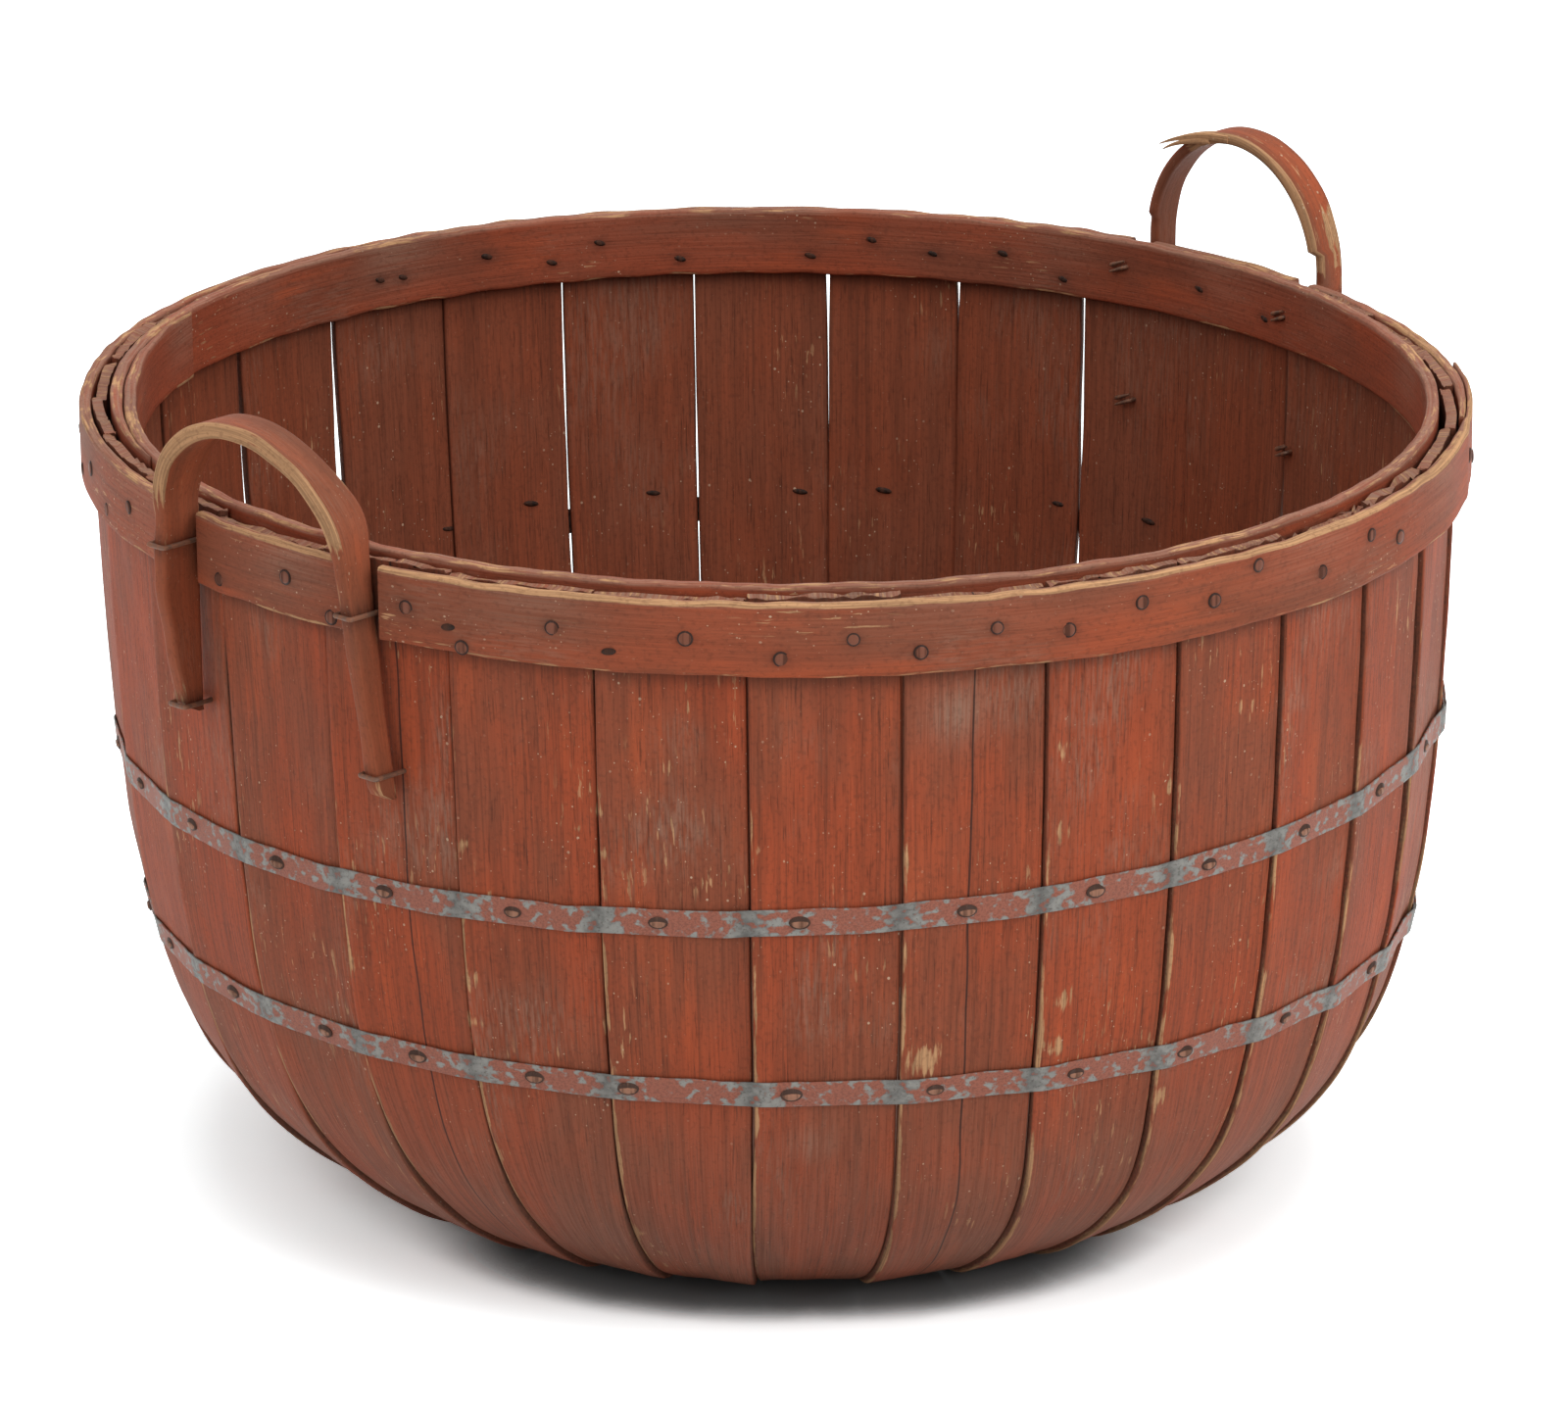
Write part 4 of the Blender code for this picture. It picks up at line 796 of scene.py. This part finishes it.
lap_tip = 360.0 + INNER_LAP[1]
angle = np.linspace(INNER_LAP[0], lap_tip, int((lap_tip - INNER_LAP[0]) / HOOP_STEP))
full = INNER_HOOP_THICKNESS + FIT_GAP
depth = np.interp(angle, (INNER_LAP[0], INNER_LAP[1] - TAPER_SPAN, INNER_LAP[1], INNER_LAP[1] + LAP_EASE),
                  (full, full, TIP_SHARES[0] * INNER_HOOP_THICKNESS + FIT_GAP, 0.0))
thickness = INNER_HOOP_THICKNESS * np.interp(
    angle, (INNER_LAP[0], INNER_LAP[0] + TAPER_SPAN, lap_tip - TAPER_SPAN, lap_tip),
    (TIP_SHARES[0], 1.0, 1.0, TIP_SHARES[0]))
inner_spots = [polar(turn, (inner_face - INNER_HOOP_THICKNESS) * oval(turn), height)
               for turn, height in seen_points]
place_piece(hoop_mesh("inner_hoop_strip", angle, inner_face * oval(angle) - depth - thickness, thickness,
                      RIM_TOP + INNER_HOOP_RISE - HOOP_HEIGHT, 11, inner_spots, -1),
            inner_hoop_paint, "inner_wood", "inner_hoop")
inner_points = [(spot + polar(turn, POINT_LIFT, 0.0), -polar(turn, 1.0, 0.0), polar(turn + 90.0, 1.0, 0.3))
                for spot, (turn, _) in zip(inner_spots, seen_points)]
place_piece(dome_mesh("bent_nail_points", inner_points, POINT_SIZE), nail_iron, "wire")

# Two straps of thin zinc-coated iron run round the staves and lap themselves at the right. They
# step over each proud stave edge, where the red paint has rubbed off, and one nail holds them to
# each stave.
BAND_WIDTH = 0.0125
BAND_THICKNESS = 0.0008
BAND_CORNER = 0.00022
BAND_GAP = 0.0005
BAND_BRIDGE_SHARE = 0.84        # past this share of a stave the strap rises to the next edge
BAND_LAP_SEAM = 13
BAND_LAP_SHARE = 0.60
BAND_POINTS = 14                # places along the strap for each stave
BAND_EDGE_WAVER = 0.0002
BAND_SWELL = 0.00018
BAND_DENT = 0.0004              # how far the strap is beaten in at a stave's edge
# Height of each band's middle, how much it slopes and the direction of its high side
BANDS = {"upper_band": (0.219, 0.0332, -57.0), "lower_band": (0.1284, 0.0319, -131.6)}
BAND_NAIL_PIXELS = {
    "upper_band": ((195, 848), (281, 877), (395, 910), (525, 938), (668, 946), (817, 944), (983, 928),
                   (1120, 910), (1230, 884), (1330, 848)),
    "lower_band": ((240, 1020), (335, 1050), (430, 1079), (545, 1098), (643, 1106), (810, 1113),
                   (955, 1112), (1095, 1093), (1207, 1072), (1310, 1041), (1398, 985))}
BAND_POINT_PIXELS = (
    (457, 541), (541, 514), (666, 503), (816, 502), (903, 500), (1082, 515), (1173, 532))
BAND_NAIL_SHARE = 0.38          # place of an unseen nail across its stave
BAND_NAIL_APART = 7.0           # degrees that it keeps from a seen one
FOOT_STATIONS = 20              # stations of the bend on the flat foot and just over it
BAND_HEAD_SIZE = (0.0040, 0.0025, 0.0014)
BAND_HEAD_UPPER = 0.30
BAND_POINT_SIZE = (0.0034, 0.0012, 0.0011)
ZINC = ((0.120, 0.118, 0.110), (0.235, 0.225, 0.205))
STRAP_PAINT = ((0.205, 0.066, 0.041), (0.32, 0.104, 0.065))
STRAP_RUST = (0.07, 0.050, 0.042)
# Painted shade in the strap's creases
CREASE_SHADE = (0.05, 0.045, 0.042)
BAND_NAIL_PAINT = (0.310, 0.150, 0.095)
# Rust and painted shade in the ring round each band nail head
BAND_NAIL_RING = (0.055, 0.028, 0.020)


def edge_at(line, height):
    """The point of a stave's edge line at a height above its foot."""
    rising = line[FOOT_STATIONS:]
    return np.stack([np.interp(height, rising[:, 2], rising[:, axis]) for axis in range(3)], axis=-1)


def on_inner_face(pixel):
    """The point of a far stave's inner face that the camera sees at a pixel, and the way out of it."""
    angle, height = ray_to_wall(pixel, STAVE_RADIUS - STAVE_THICKNESS, True)
    angle, height = ray_to_wall(pixel, bend_reach(height) - STAVE_THICKNESS, True)
    turn = seam_turns[0] + (angle - seam_turns[0]) % 360.0
    index = int(np.searchsorted(seam_turns, turn)) - 1
    left, right, _, out = stave_frame(index)
    first, second = edge_at(left, height), edge_at(right, height)
    share = (turn - seam_turns[index]) / (seam_turns[index + 1] - seam_turns[index])
    way = out[int(np.argmin(np.abs(bend_height - height)))]
    return first + share * (second - first) - STAVE_THICKNESS * way, -way


def strap_path(height, slope, turn):
    """Lower and upper inner edge of a strap as it runs round the staves, the way out of them, and
    how near a seam each place is.

    On each stave it follows the flat face, then leaves it in a straight line to the next proud
    edge. The line is averaged over three places, twice, because the strap is stiff.
    """
    low, high, seam_near = [], [], []
    for step in range(STAVE_COUNT + 1):
        index = (BAND_LAP_SEAM + step) % STAVE_COUNT
        left, right, _, _ = stave_frame(index)
        middle = math.radians((seam_turns[index] + seam_turns[index + 1]) / 2 - turn)
        level = height + slope * bend_reach(height) * math.cos(middle)
        lapped = step == STAVE_COUNT
        last = BAND_LAP_SHARE if lapped else BAND_BRIDGE_SHARE
        share = np.linspace(0.0, last, BAND_POINTS)[:, None]
        for side, sheet in ((-1, low), (1, high)):
            at = level + side * BAND_WIDTH / 2
            first, second = edge_at(left, at), edge_at(right, at)
            sheet.append(first + share * (second - first))
        seam_near.append(np.minimum(share[:, 0], 1.0 - share[:, 0]) * (1.0 if lapped else 0.9))
    low, high = np.concatenate(low), np.concatenate(high)
    for _ in range(2):
        for sheet in (low, high):
            sheet[1:-1] = (sheet[:-2] + 2.0 * sheet[1:-1] + sheet[2:]) / 4.0
    out = unit(np.cross(np.gradient(low, axis=0), high - low))
    lap = np.clip((np.arange(len(low)) - STAVE_COUNT * BAND_POINTS + 4) / 4.0, 0.0, 1.0)
    lift = (BAND_GAP + (BAND_THICKNESS + FIT_GAP) * lap)[:, None] * out
    return low + lift, high + lift, out, np.concatenate(seam_near)


def band_mesh(name, path):
    """A strap: its thin rounded section carried along the path."""
    low, high, out, seam_near = path
    through, through_cut, across, across_cut = rounded_section(BAND_CORNER, 5)
    travel = travelled(low)
    rise = across * BAND_WIDTH + across_cut
    rise = rise + BAND_EDGE_WAVER * waver(travel, 0.05, 8)[:, None] * (across > 0.9)
    swell = BAND_SWELL * waver(travel, 0.02, 9) - BAND_DENT * np.exp(-(seam_near / 0.05) ** 2)
    points = low[:, None] + rise[..., None] * unit(high - low)[:, None]
    points = points + (through * BAND_THICKNESS + through_cut + swell[:, None])[..., None] * out[:, None]
    ring = np.stack([through * BAND_THICKNESS + through_cut, across * BAND_WIDTH + across_cut])
    worn = np.exp(-(seam_near / 0.13) ** 2)[:, None] + 0.35 * (np.abs(across - 0.5) > 0.4)
    return board_mesh(name, points, ring, travel, piece=3.0, worn=worn,
                      crease=np.exp(-(seam_near / 0.028) ** 2)[:, None])


def painted_strap(name):
    """Blue-grey zinc under patches of red paint, which is gone where the mark "worn" is high."""
    material, tree, shader = new_material(name)
    place = grain_place(tree)
    cloud = speckle(tree, place, 240.0, 180.0, 2.0, 7.0)
    fine = speckle(tree, place, 900.0, 700.0, 6.0, 3.0)
    zinc = tint(tree, fade(tree, cloud, 0.35, 0.65), *ZINC)
    red = tint(tree, fade(tree, fine, 0.35, 0.65), *STRAP_PAINT)
    bare = fade(tree, weighted(tree, (mark(tree, "worn"), 0.22), (cloud, 1.0)), 0.54, 0.645)
    colour = tint(tree, bare, red, zinc)
    colour = tint(tree, fade(tree, fine, 0.56, 0.70, 0.0, 0.55), colour, STRAP_RUST)
    # Painted shade in the crease where the strap is beaten in at a stave edge
    colour = tint(tree, weighted(tree, (mark(tree, "crease"), 0.40)), colour, CREASE_SHADE)
    height = weighted(tree, (fine, 0.4), (bare, -0.5))
    coat(shader, colour, fade(tree, fine, 0.2, 0.8, 0.52, 0.72), 0.30, height, METAL_BUMPS,
         weighted(tree, (bare, 0.20)))
    return material


strap_finish = painted_strap("strap_finish")
band_heads = []
for name, (height, slope, turn) in BANDS.items():
    path = strap_path(height, slope, turn)
    place_piece(band_mesh(name + "_strap", path), strap_finish, "strap_metal", name)
    middle = (path[0] + path[1]) / 2
    turns = np.degrees(np.arctan2(middle[:, 1], middle[:, 0]))
    seen = [ray_to_wall(pixel, bend_reach(height), False)[0] for pixel in BAND_NAIL_PIXELS[name]]
    hidden = seam_turns[:-1] + BAND_NAIL_SHARE * np.diff(seam_turns)
    hidden = [spot for spot in hidden
              if min(abs((spot - other + 180.0) % 360.0 - 180.0) for other in seen) > BAND_NAIL_APART]
    for spot in seen + hidden:
        nearest = int(np.argmin(np.abs((turns - spot + 180.0) % 360.0 - 180.0)))
        out = path[2][nearest]
        band_heads.append((middle[nearest] + out * BAND_THICKNESS, out + (0.0, 0.0, 0.12),
                           out[[1, 0, 2]] * (-1.0, 1.0, 0.0)))
place_piece(dome_mesh("band_nail_heads", band_heads, BAND_HEAD_SIZE, BAND_HEAD_UPPER),
            old_iron("band_nail_paint", BAND_NAIL_PAINT, darker(BAND_NAIL_PAINT, 0.45), ring=BAND_NAIL_RING),
            "wire")
band_points = [(foot, way, (way[1], -way[0], 0.15)) for foot, way in map(on_inner_face, BAND_POINT_PIXELS)]
place_piece(dome_mesh("band_nail_points", band_points, BAND_POINT_SIZE), nail_iron, "wire")

# Two bent strips of split ash are the handles. Each stands on edge against the rim, where its legs
# are notched to a shoulder that rests on the hoops, and arches over it. The near one leans out and
# its grip is worn narrower at one side; hands and straps have rubbed the edges bare.
SHOULDER_STEP = 0.005
NECK_BLEND = 0.014              # stretch below the rim over which a leg widens to bear on the staves
LEG_TIP_WIDTH = 0.011
LEG_TIP_ROUND = 0.007
HANDLE_CORNER = 0.0016
HANDLE_RIPPLE = 0.00025
LEG_ROWS = 34
ARCH_ROWS = 60
STAPLE_STAIN_SIZE = 0.0055
HANDLE_PAINTS = ((0.325, 0.080, 0.033), (0.195, 0.066, 0.034))
# Of each leg: its length and where its taper and upper staple start, down from the rim, then the
# height of its lower staple over its tip and how far it splays
HANDLES = {
    "near_handle": {
        "turn": 179.8, "reach": 0.330, "span": 0.116, "rise": 0.0532, "width": 0.027, "thick": 0.0075,
        "lean": 0.12, "sway": -0.07, "narrow": 0.24, "seed": 61, "shoulder": (0.0, 0.026), "broken": 0.0,
        "bare": (0.0, 0.08, 0.9, 1.0), "bare_side": 1,
        "legs": {1: (0.108, 0.004, 0.0225, 0.012, 0.08), -1: (0.096, 0.034, 0.014, 0.004, 0.05)}},
    "far_handle": {
        "turn": -0.9, "reach": 0.337, "span": 0.109, "rise": 0.0615, "width": 0.020, "thick": 0.0055,
        "lean": 0.02, "sway": 0.03, "narrow": 0.0, "seed": 62, "shoulder": (0.0105, 0.0012), "broken": 0.0025,
        "bare": (0.3, 0.36, 0.96, 1.0), "bare_side": -1,
        "legs": {1: (0.089, 0.034, 0.010, 0.010, 0.0), -1: (0.093, 0.034, 0.014, 0.010, 0.0)}}}


def leg_middle(handle, side, height):
    """Sideways place of a leg's middle at a height: it splays towards its tip."""
    return side * (handle["span"] / 2 + handle["legs"][side][4] * (RIM_TOP - height))


def leg_wall(handle, side, height):
    """Where a leg's inner edge bears on the staves, outwards from the basket's axis."""
    across = leg_middle(handle, side, height)
    turn = handle["turn"] + np.degrees(np.arctan2(across, handle["reach"]))
    radius = bend_reach(height) * oval(turn) + EDGE_STEP / 2 + FIT_GAP
    return np.sqrt(radius ** 2 - (np.abs(across) - handle["thick"] / 2) ** 2)


def leg_outer(handle, side, height):
    """Outer edge of a leg, which tapers in a straight line to its tip."""
    length, taper = handle["legs"][side][:2]
    share = np.clip((height - RIM_TOP + length) / (length - taper), 0.0, 1.0)
    tip = leg_wall(handle, side, RIM_TOP - length) + LEG_TIP_WIDTH
    return tip * (1.0 - share) + handle["reach"] * share


def handle_line(handle):
    """Inner edge, outer edge, sideways place and height along a handle, from one tip to the other.

    The legs are straight and the grip is half an ellipse. The outer corner of each tip is rounded
    as a quarter ellipse, and the inner edge steps back smoothly at the shoulder.
    """
    reach, width = handle["reach"], handle["width"]
    rise = handle["rise"] - handle["thick"] / 2
    lines = []
    for side in (1, -1):
        height = np.linspace(RIM_TOP - handle["legs"][side][0], RIM_TOP, LEG_ROWS + 1)[:-1]
        top_wall = float(leg_wall(handle, side, RIM_TOP))
        above = np.clip((height - RIM_TOP + NECK_BLEND) / (0.6 * NECK_BLEND), 0.0, 1.0)
        inner = leg_wall(handle, side, height)
        inner = inner + above * (max(reach - width + SHOULDER_STEP, top_wall) - top_wall)
        outer = leg_outer(handle, side, height)
        near_tip = np.clip(1.0 - (height - height[0]) / LEG_TIP_ROUND, 0.0, 1.0)
        cut = 0.62 * (outer - inner) * (1.0 - np.sqrt(1.0 - near_tip ** 2))
        lines.append(np.stack([inner, outer - cut, leg_middle(handle, side, height), height]))
    turn = np.linspace(0.0, math.pi, ARCH_ROWS)
    over = rise * np.sin(turn)
    worn = handle["narrow"] * np.sin(turn) * (1.0 + np.cos(turn))
    neck = np.maximum(reach - width + SHOULDER_STEP,
                      np.where(turn < math.pi / 2, *(leg_wall(handle, side, RIM_TOP) for side in (1, -1))))
    rest = np.clip((over - handle["shoulder"][0]) / handle["shoulder"][1], 0.0, 1.0)
    rest = rest * rest * (3.0 - 2.0 * rest)
    inner = neck + rest * (reach - width * (1.0 - worn) - neck)
    inner = inner + handle["broken"] * np.clip((1.15 - turn) / 0.05, 0.0, 1.0) * rest
    arch = np.stack([inner + handle["lean"] * over, reach + handle["lean"] * over,
                     handle["span"] / 2 * np.cos(turn) + handle["sway"] * over, RIM_TOP + over])
    return np.concatenate([lines[0], arch, lines[1][:, ::-1]], axis=1)


def turned_points(points, degrees):
    """Points turned about the upright axis."""
    cos, sin = math.cos(math.radians(degrees)), math.sin(math.radians(degrees))
    return points @ np.array([(cos, sin, 0.0), (-sin, cos, 0.0), (0.0, 0.0, 1.0)])


def staple_height(handle, side, upper):
    """Height of a staple's wire."""
    length, _, upper_drop, lower_rise, _ = handle["legs"][side]
    return RIM_TOP - upper_drop if upper else RIM_TOP - length + lower_rise


def handle_mesh(name, handle):
    """A handle: its rounded section carried along its line, with a slow ripple in its width."""
    inner, outer, over, height = handle_line(handle)
    ahead = unit(np.stack([np.gradient(over), np.gradient(height)], axis=-1)).T
    travel = travelled(np.stack([over, height], axis=-1))
    through, through_cut, across, across_cut = rounded_section(HANDLE_CORNER, 6)
    thick = handle["thick"] * (1.0 + 0.05 * waver(travel, 0.10, handle["seed"]))[:, None]
    depth = (through - 0.5) * thick + through_cut
    ripple = HANDLE_RIPPLE * waver(travel, 0.05, handle["seed"] + 1) - FACE_SINK
    out = inner[:, None] + across * (outer - inner + ripple)[:, None] + across_cut
    points = np.stack([out, over[:, None] + depth * ahead[1][:, None],
                       height[:, None] - depth * ahead[0][:, None]], axis=-1)
    ring = np.stack([through * handle["thick"] + through_cut, across * handle["width"] + across_cut])
    ebb = 0.5 + 0.5 * waver(travel, 0.11, handle["seed"] + 2)[:, None]
    place = np.concatenate([np.zeros(LEG_ROWS), np.linspace(0.0, 1.0, ARCH_ROWS), np.ones(LEG_ROWS)])[:, None]
    grip = np.interp(place, handle["bare"], (0.0, 1.0, 1.0, 0.0))
    split = np.interp(place, (0.78, 0.84, 0.99, 1.0), (0.0, 0.80, 0.80, 0.0))
    split = split * (across > 0.5) * (through > 0.5)
    worn = (0.20 + 0.40 * ebb + 0.62 * grip * (handle["bare_side"] > 0)) * (across > 0.99)
    worn = worn + (0.25 + 0.40 * ebb + 0.70 * grip * (handle["bare_side"] < 0)) * (across < 0.01)
    worn = np.maximum(worn, split * (handle["bare_side"] < 0))
    stain = np.zeros(points.shape[:2])
    for side, upper in ((1, True), (1, False), (-1, True), (-1, False)):
        away = np.hypot(points[..., 1] - leg_middle(handle, side, RIM_TOP - 0.03),
                        points[..., 2] - staple_height(handle, side, upper))
        stain = np.maximum(stain, 0.7 * np.exp(-(away / STAPLE_STAIN_SIZE) ** 2))
    # Darker along the inner edge that lies against the staves, most at the rim
    low = np.interp(height, (RIM_TOP - HOOP_HEIGHT - 0.01, RIM_TOP), (0.15, 0.30))[:, None]
    return board_mesh(name, turned_points(points, handle["turn"]), ring, travel, piece=handle["seed"],
                      worn=worn, dirt=np.where(across < 0.3, low, 0.1), stain=stain)


handle_paint = painted_wood("handle_paint", *HANDLE_PAINTS, HIDDEN_FACE_SHADE, 0.5)
for name, handle in HANDLES.items():
    place_piece(handle_mesh(name + "_strip", handle), handle_paint, "painted_wood", name)

# The far handle has split along its inner edge: two splinters stand off it where it bends down.
# Each is three places beyond the inner edge at the rim, outwards, to the right and up, then its
# width and thickness.
SPLINTERS = {
    "long_splinter": (((0.0005, 0.002, 0.0590), (0.0005, 0.026, 0.0590), (0.0005, 0.0466, 0.0495)),
                      0.0074, 0.0036),
    "short_splinter": (((0.0003, 0.014, 0.0560), (0.0003, 0.034, 0.0540), (0.0003, 0.0445, 0.0470)),
                       0.0052, 0.0028)}
SPLINTER_CORNER = 0.0004


def splinter_mesh(name, handle, ends, wide, thick):
    """A splinter: a thin section carried along a quadratic bend, which it narrows along."""
    share = np.linspace(0.0, 1.0, 14)[:, None]
    first, middle, last = np.array(ends) + (handle["reach"] - handle["width"], 0.0, RIM_TOP)
    line = (1 - share) ** 2 * first + 2 * share * (1 - share) * middle + share ** 2 * last
    up = unit(np.cross((1.0, 0.0, 0.0), np.gradient(line, axis=0)))
    through, through_cut, across, across_cut = rounded_section(SPLINTER_CORNER, 2)
    section = np.stack([(through - 0.5) * thick + through_cut, across * wide + across_cut])
    slim = (1.0 - 0.86 * share ** 2.2)[..., None]
    out = section[1][:, None] * (1.0, 0.0, 0.0)
    points = line[:, None] + slim * (section[0][:, None] * up[:, None] + out)
    return board_mesh(name, turned_points(points, handle["turn"]), section, share[:, 0] * 0.05,
                      piece=71.0, worn=0.95)


for name, sizes in SPLINTERS.items():
    place_piece(splinter_mesh(name, HANDLES["far_handle"], *sizes), handle_paint, "painted_wood")

# Iron wire staples hold the legs: each goes round a leg's outer edge, through the rim or a stave
# with both ends, and is bent over inside.
WIRE_RADIUS = 0.0011
WIRE_SIDES = 12
WIRE_TIP_SHARE = 0.55
WIRE_BEND = 0.0016
CLENCH_LENGTH = 0.009
CLENCH_SHARES = (0.93, 0.36)    # how far a bent-over end runs sideways and up or down
HOOP_FACET = math.cos(math.radians(2.0))
WIRE_IRON = (0.125, 0.064, 0.042)
WIRE_RUST = (0.215, 0.088, 0.048)


def inside_place(handle, across, height, upper):
    """Where a bent-over wire end lies against the inside of the hoop or of a stave."""
    turn = handle["turn"] + math.degrees(math.atan2(across, handle["reach"]))
    if upper:
        radius = (inner_face * float(oval(turn)) - INNER_HOOP_THICKNESS) * HOOP_FACET
    else:
        radius = bend_reach(height - CLENCH_LENGTH) * oval(turn) * UNDER_WIDEST
        radius = radius - EDGE_STEP / 2 - STAVE_THICKNESS
    return math.sqrt((radius - FIT_GAP - WIRE_RADIUS) ** 2 - across ** 2)


def eased(path, bend):
    """A path of straight runs with each corner cut by a short curve, a quadratic through six points."""
    path = np.array(path, float)
    line = [path[0]]
    share = np.linspace(0.0, 1.0, 6)[:, None]
    for before, corner, after in zip(path, path[1:], path[2:]):
        first, last = (corner + (end - corner) * min(0.45, bend / np.linalg.norm(end - corner))
                       for end in (before, after))
        line += list((1 - share) ** 2 * first + 2 * share * (1 - share) * corner + share ** 2 * last)
    return np.array(line + [path[-1]])


def wire_mesh(name, path):
    """A round wire: a circle carried along a path, kept square to it by passing its side on."""
    ahead = unit(np.gradient(path, axis=0))
    side = np.array((0.0, 0.0, 1.0))
    frames = []
    for way in ahead:
        side = square_to(way, side)
        frames.append((side, np.cross(way, side)))
    frames = np.array(frames)
    turn = np.linspace(0.0, 2.0 * math.pi, WIRE_SIDES, endpoint=False)
    slim = np.ones(len(path))
    slim[[0, -1]] = WIRE_TIP_SHARE
    circle = np.cos(turn)[:, None] * frames[:, None, 0] + np.sin(turn)[:, None] * frames[:, None, 1]
    points = path[:, None] + WIRE_RADIUS * slim[:, None, None] * circle
    return board_mesh(name, points, WIRE_RADIUS * np.stack([np.cos(turn), np.sin(turn)]), travelled(path))


wire_iron = old_iron("wire_iron", WIRE_IRON, WIRE_RUST, 0.40)
for name, handle in HANDLES.items():
    for side, hand in ((1, "right"), (-1, "left")):
        for upper, level in ((True, "upper"), (False, "lower")):
            height = staple_height(handle, side, upper)
            front = float(leg_outer(handle, side, height + WIRE_RADIUS)) + FIT_GAP + WIRE_RADIUS
            path = []
            for way in (1, -1):
                start = leg_middle(handle, side, height)
                start = start + way * (handle["thick"] / 2 + FIT_GAP + WIRE_RADIUS)
                end = start - way * CLENCH_LENGTH * CLENCH_SHARES[0]
                half = [(inside_place(handle, end, height, upper), end,
                         height + way * CLENCH_LENGTH * CLENCH_SHARES[1]),
                        (inside_place(handle, start, height, upper), start, height), (front, start, height)]
                path += half[::way]
            wire = f"{name}_{hand}_{level}_staple"
            path = turned_points(eased(path, WIRE_BEND), handle["turn"])
            place_piece(wire_mesh(wire + "_wire", path), wire_iron, "wire", wire)

# The floor is a plain white sweep under a soft studio light. To the camera and in reflections its
# white is stretched past full, as in an overexposed backdrop, so that only the shadow shows, and a
# painted contact shadow darkens it where the basket closes it in, most in front. The world is white
# beyond it.
FLOOR_SIZE = 9.0
FLOOR_COLOUR = (0.68, 0.68, 0.68)
FLOOR_WHITE = (1.90, 2.03, 2.06)    # a little short of red, which the basket throws back on it
CONTACT_REACH = 0.028           # height of a gap over the floor below which it counts as closed in
CONTACT_SIDES = 0.30            # how much of the darkening is left at the sides
CONTACT_SPAN = (0.45, 0.97)     # from the sides to the front, as the cosine of the direction
CONTACT_EDGES = (0.22, 0.74)
CONTACT_LEFT = 0.12             # how much of the white is left where it is darkest
WORLD_LIGHT = 0.56
# Each lamp's place and aim in the photograph's own directions, its size and its power
LAMPS = {"left_light": ((-2.0, -1.8, 2.2), (0.0, 0.0, 0.15), 1.8, 20.0),
         "right_light": ((2.1, -1.9, 2.1), (0.0, 0.0, 0.2), 1.8, 44.0),
         "top_light": ((0.2, 0.0, 3.0), (0.0, 0.0, 0.1), 2.4, 40.0)}


def seen_share(tree):
    """1 for what the camera sees straight, in a reflection or through glass, and 0 for light."""
    path = add_node(tree, "LightPath").outputs
    return combine(tree, 'MAXIMUM', *(path[kind] for kind in (
        "Is Camera Ray", "Is Glossy Ray", "Is Transmission Ray")))


floor_mesh = bpy.data.meshes.new("floor")
corner = FLOOR_SIZE / 2
floor_mesh.from_pydata([(-corner, -corner, 0), (corner, -corner, 0), (corner, corner, 0),
                        (-corner, corner, 0)], [], [(0, 1, 2, 3)])
floor = bpy.data.objects.new("floor", floor_mesh)
bpy.context.scene.collection.objects.link(floor)
floor_white, tree, shader = new_material("floor_white")
tree.nodes.remove(shader)
# Painted contact shadow: the white is darkened where ambient occlusion finds the basket near, most in front
open_share = add_node(tree, "AmbientOcclusion", {"Distance": CONTACT_REACH}, samples=16).outputs["AO"]
way = add_node(tree, "VectorMath", {0: add_node(tree, "TexCoord").outputs["Object"]}, operation='NORMALIZE')
front = add_node(tree, "VectorMath", {0: way.outputs[0], 1: tuple(polar(-90.0 - CAMERA_TURN, 1.0, 0.0))},
                 operation='DOT_PRODUCT').outputs["Value"]
closed_in = combine(tree, 'MULTIPLY', combine(tree, 'SUBTRACT', 1.0, open_share),
                    fade(tree, front, *CONTACT_SPAN, CONTACT_SIDES, 1.0))
shaded = tint(tree, fade(tree, closed_in, *CONTACT_EDGES, 1.0, CONTACT_LEFT), (0.0, 0.0, 0.0), FLOOR_WHITE)
matt = add_node(tree, "BsdfDiffuse", {"Color": tint(tree, seen_share(tree), FLOOR_COLOUR, shaded)})
feed(tree.nodes["Material Output"], {"Surface": matt.outputs[0]})
floor_mesh.materials.append(floor_white)

world = bpy.data.worlds.new("studio")
bpy.context.scene.world = world
world.use_nodes = True
tree = world.node_tree
feed(tree.nodes["Background"], {"Color": (1.0, 1.0, 1.0, 1.0),
                                "Strength": fade(tree, seen_share(tree), 0.0, 1.0, WORLD_LIGHT, 1.0)})

for name, (place, aim, size, power) in LAMPS.items():
    lamp = bpy.data.lights.new(name, 'AREA')
    lamp.size = size
    lamp.energy = power
    holder = bpy.data.objects.new(name, lamp)
    turn = Matrix.Rotation(-math.radians(CAMERA_TURN), 3, 'Z')
    at = turn @ Vector(place)
    holder.location = at
    holder.rotation_euler = (turn @ Vector(aim) - at).to_track_quat('-Z', 'Y').to_euler()
    bpy.context.scene.collection.objects.link(holder)

bpy.context.scene.view_settings.view_transform = 'Standard'
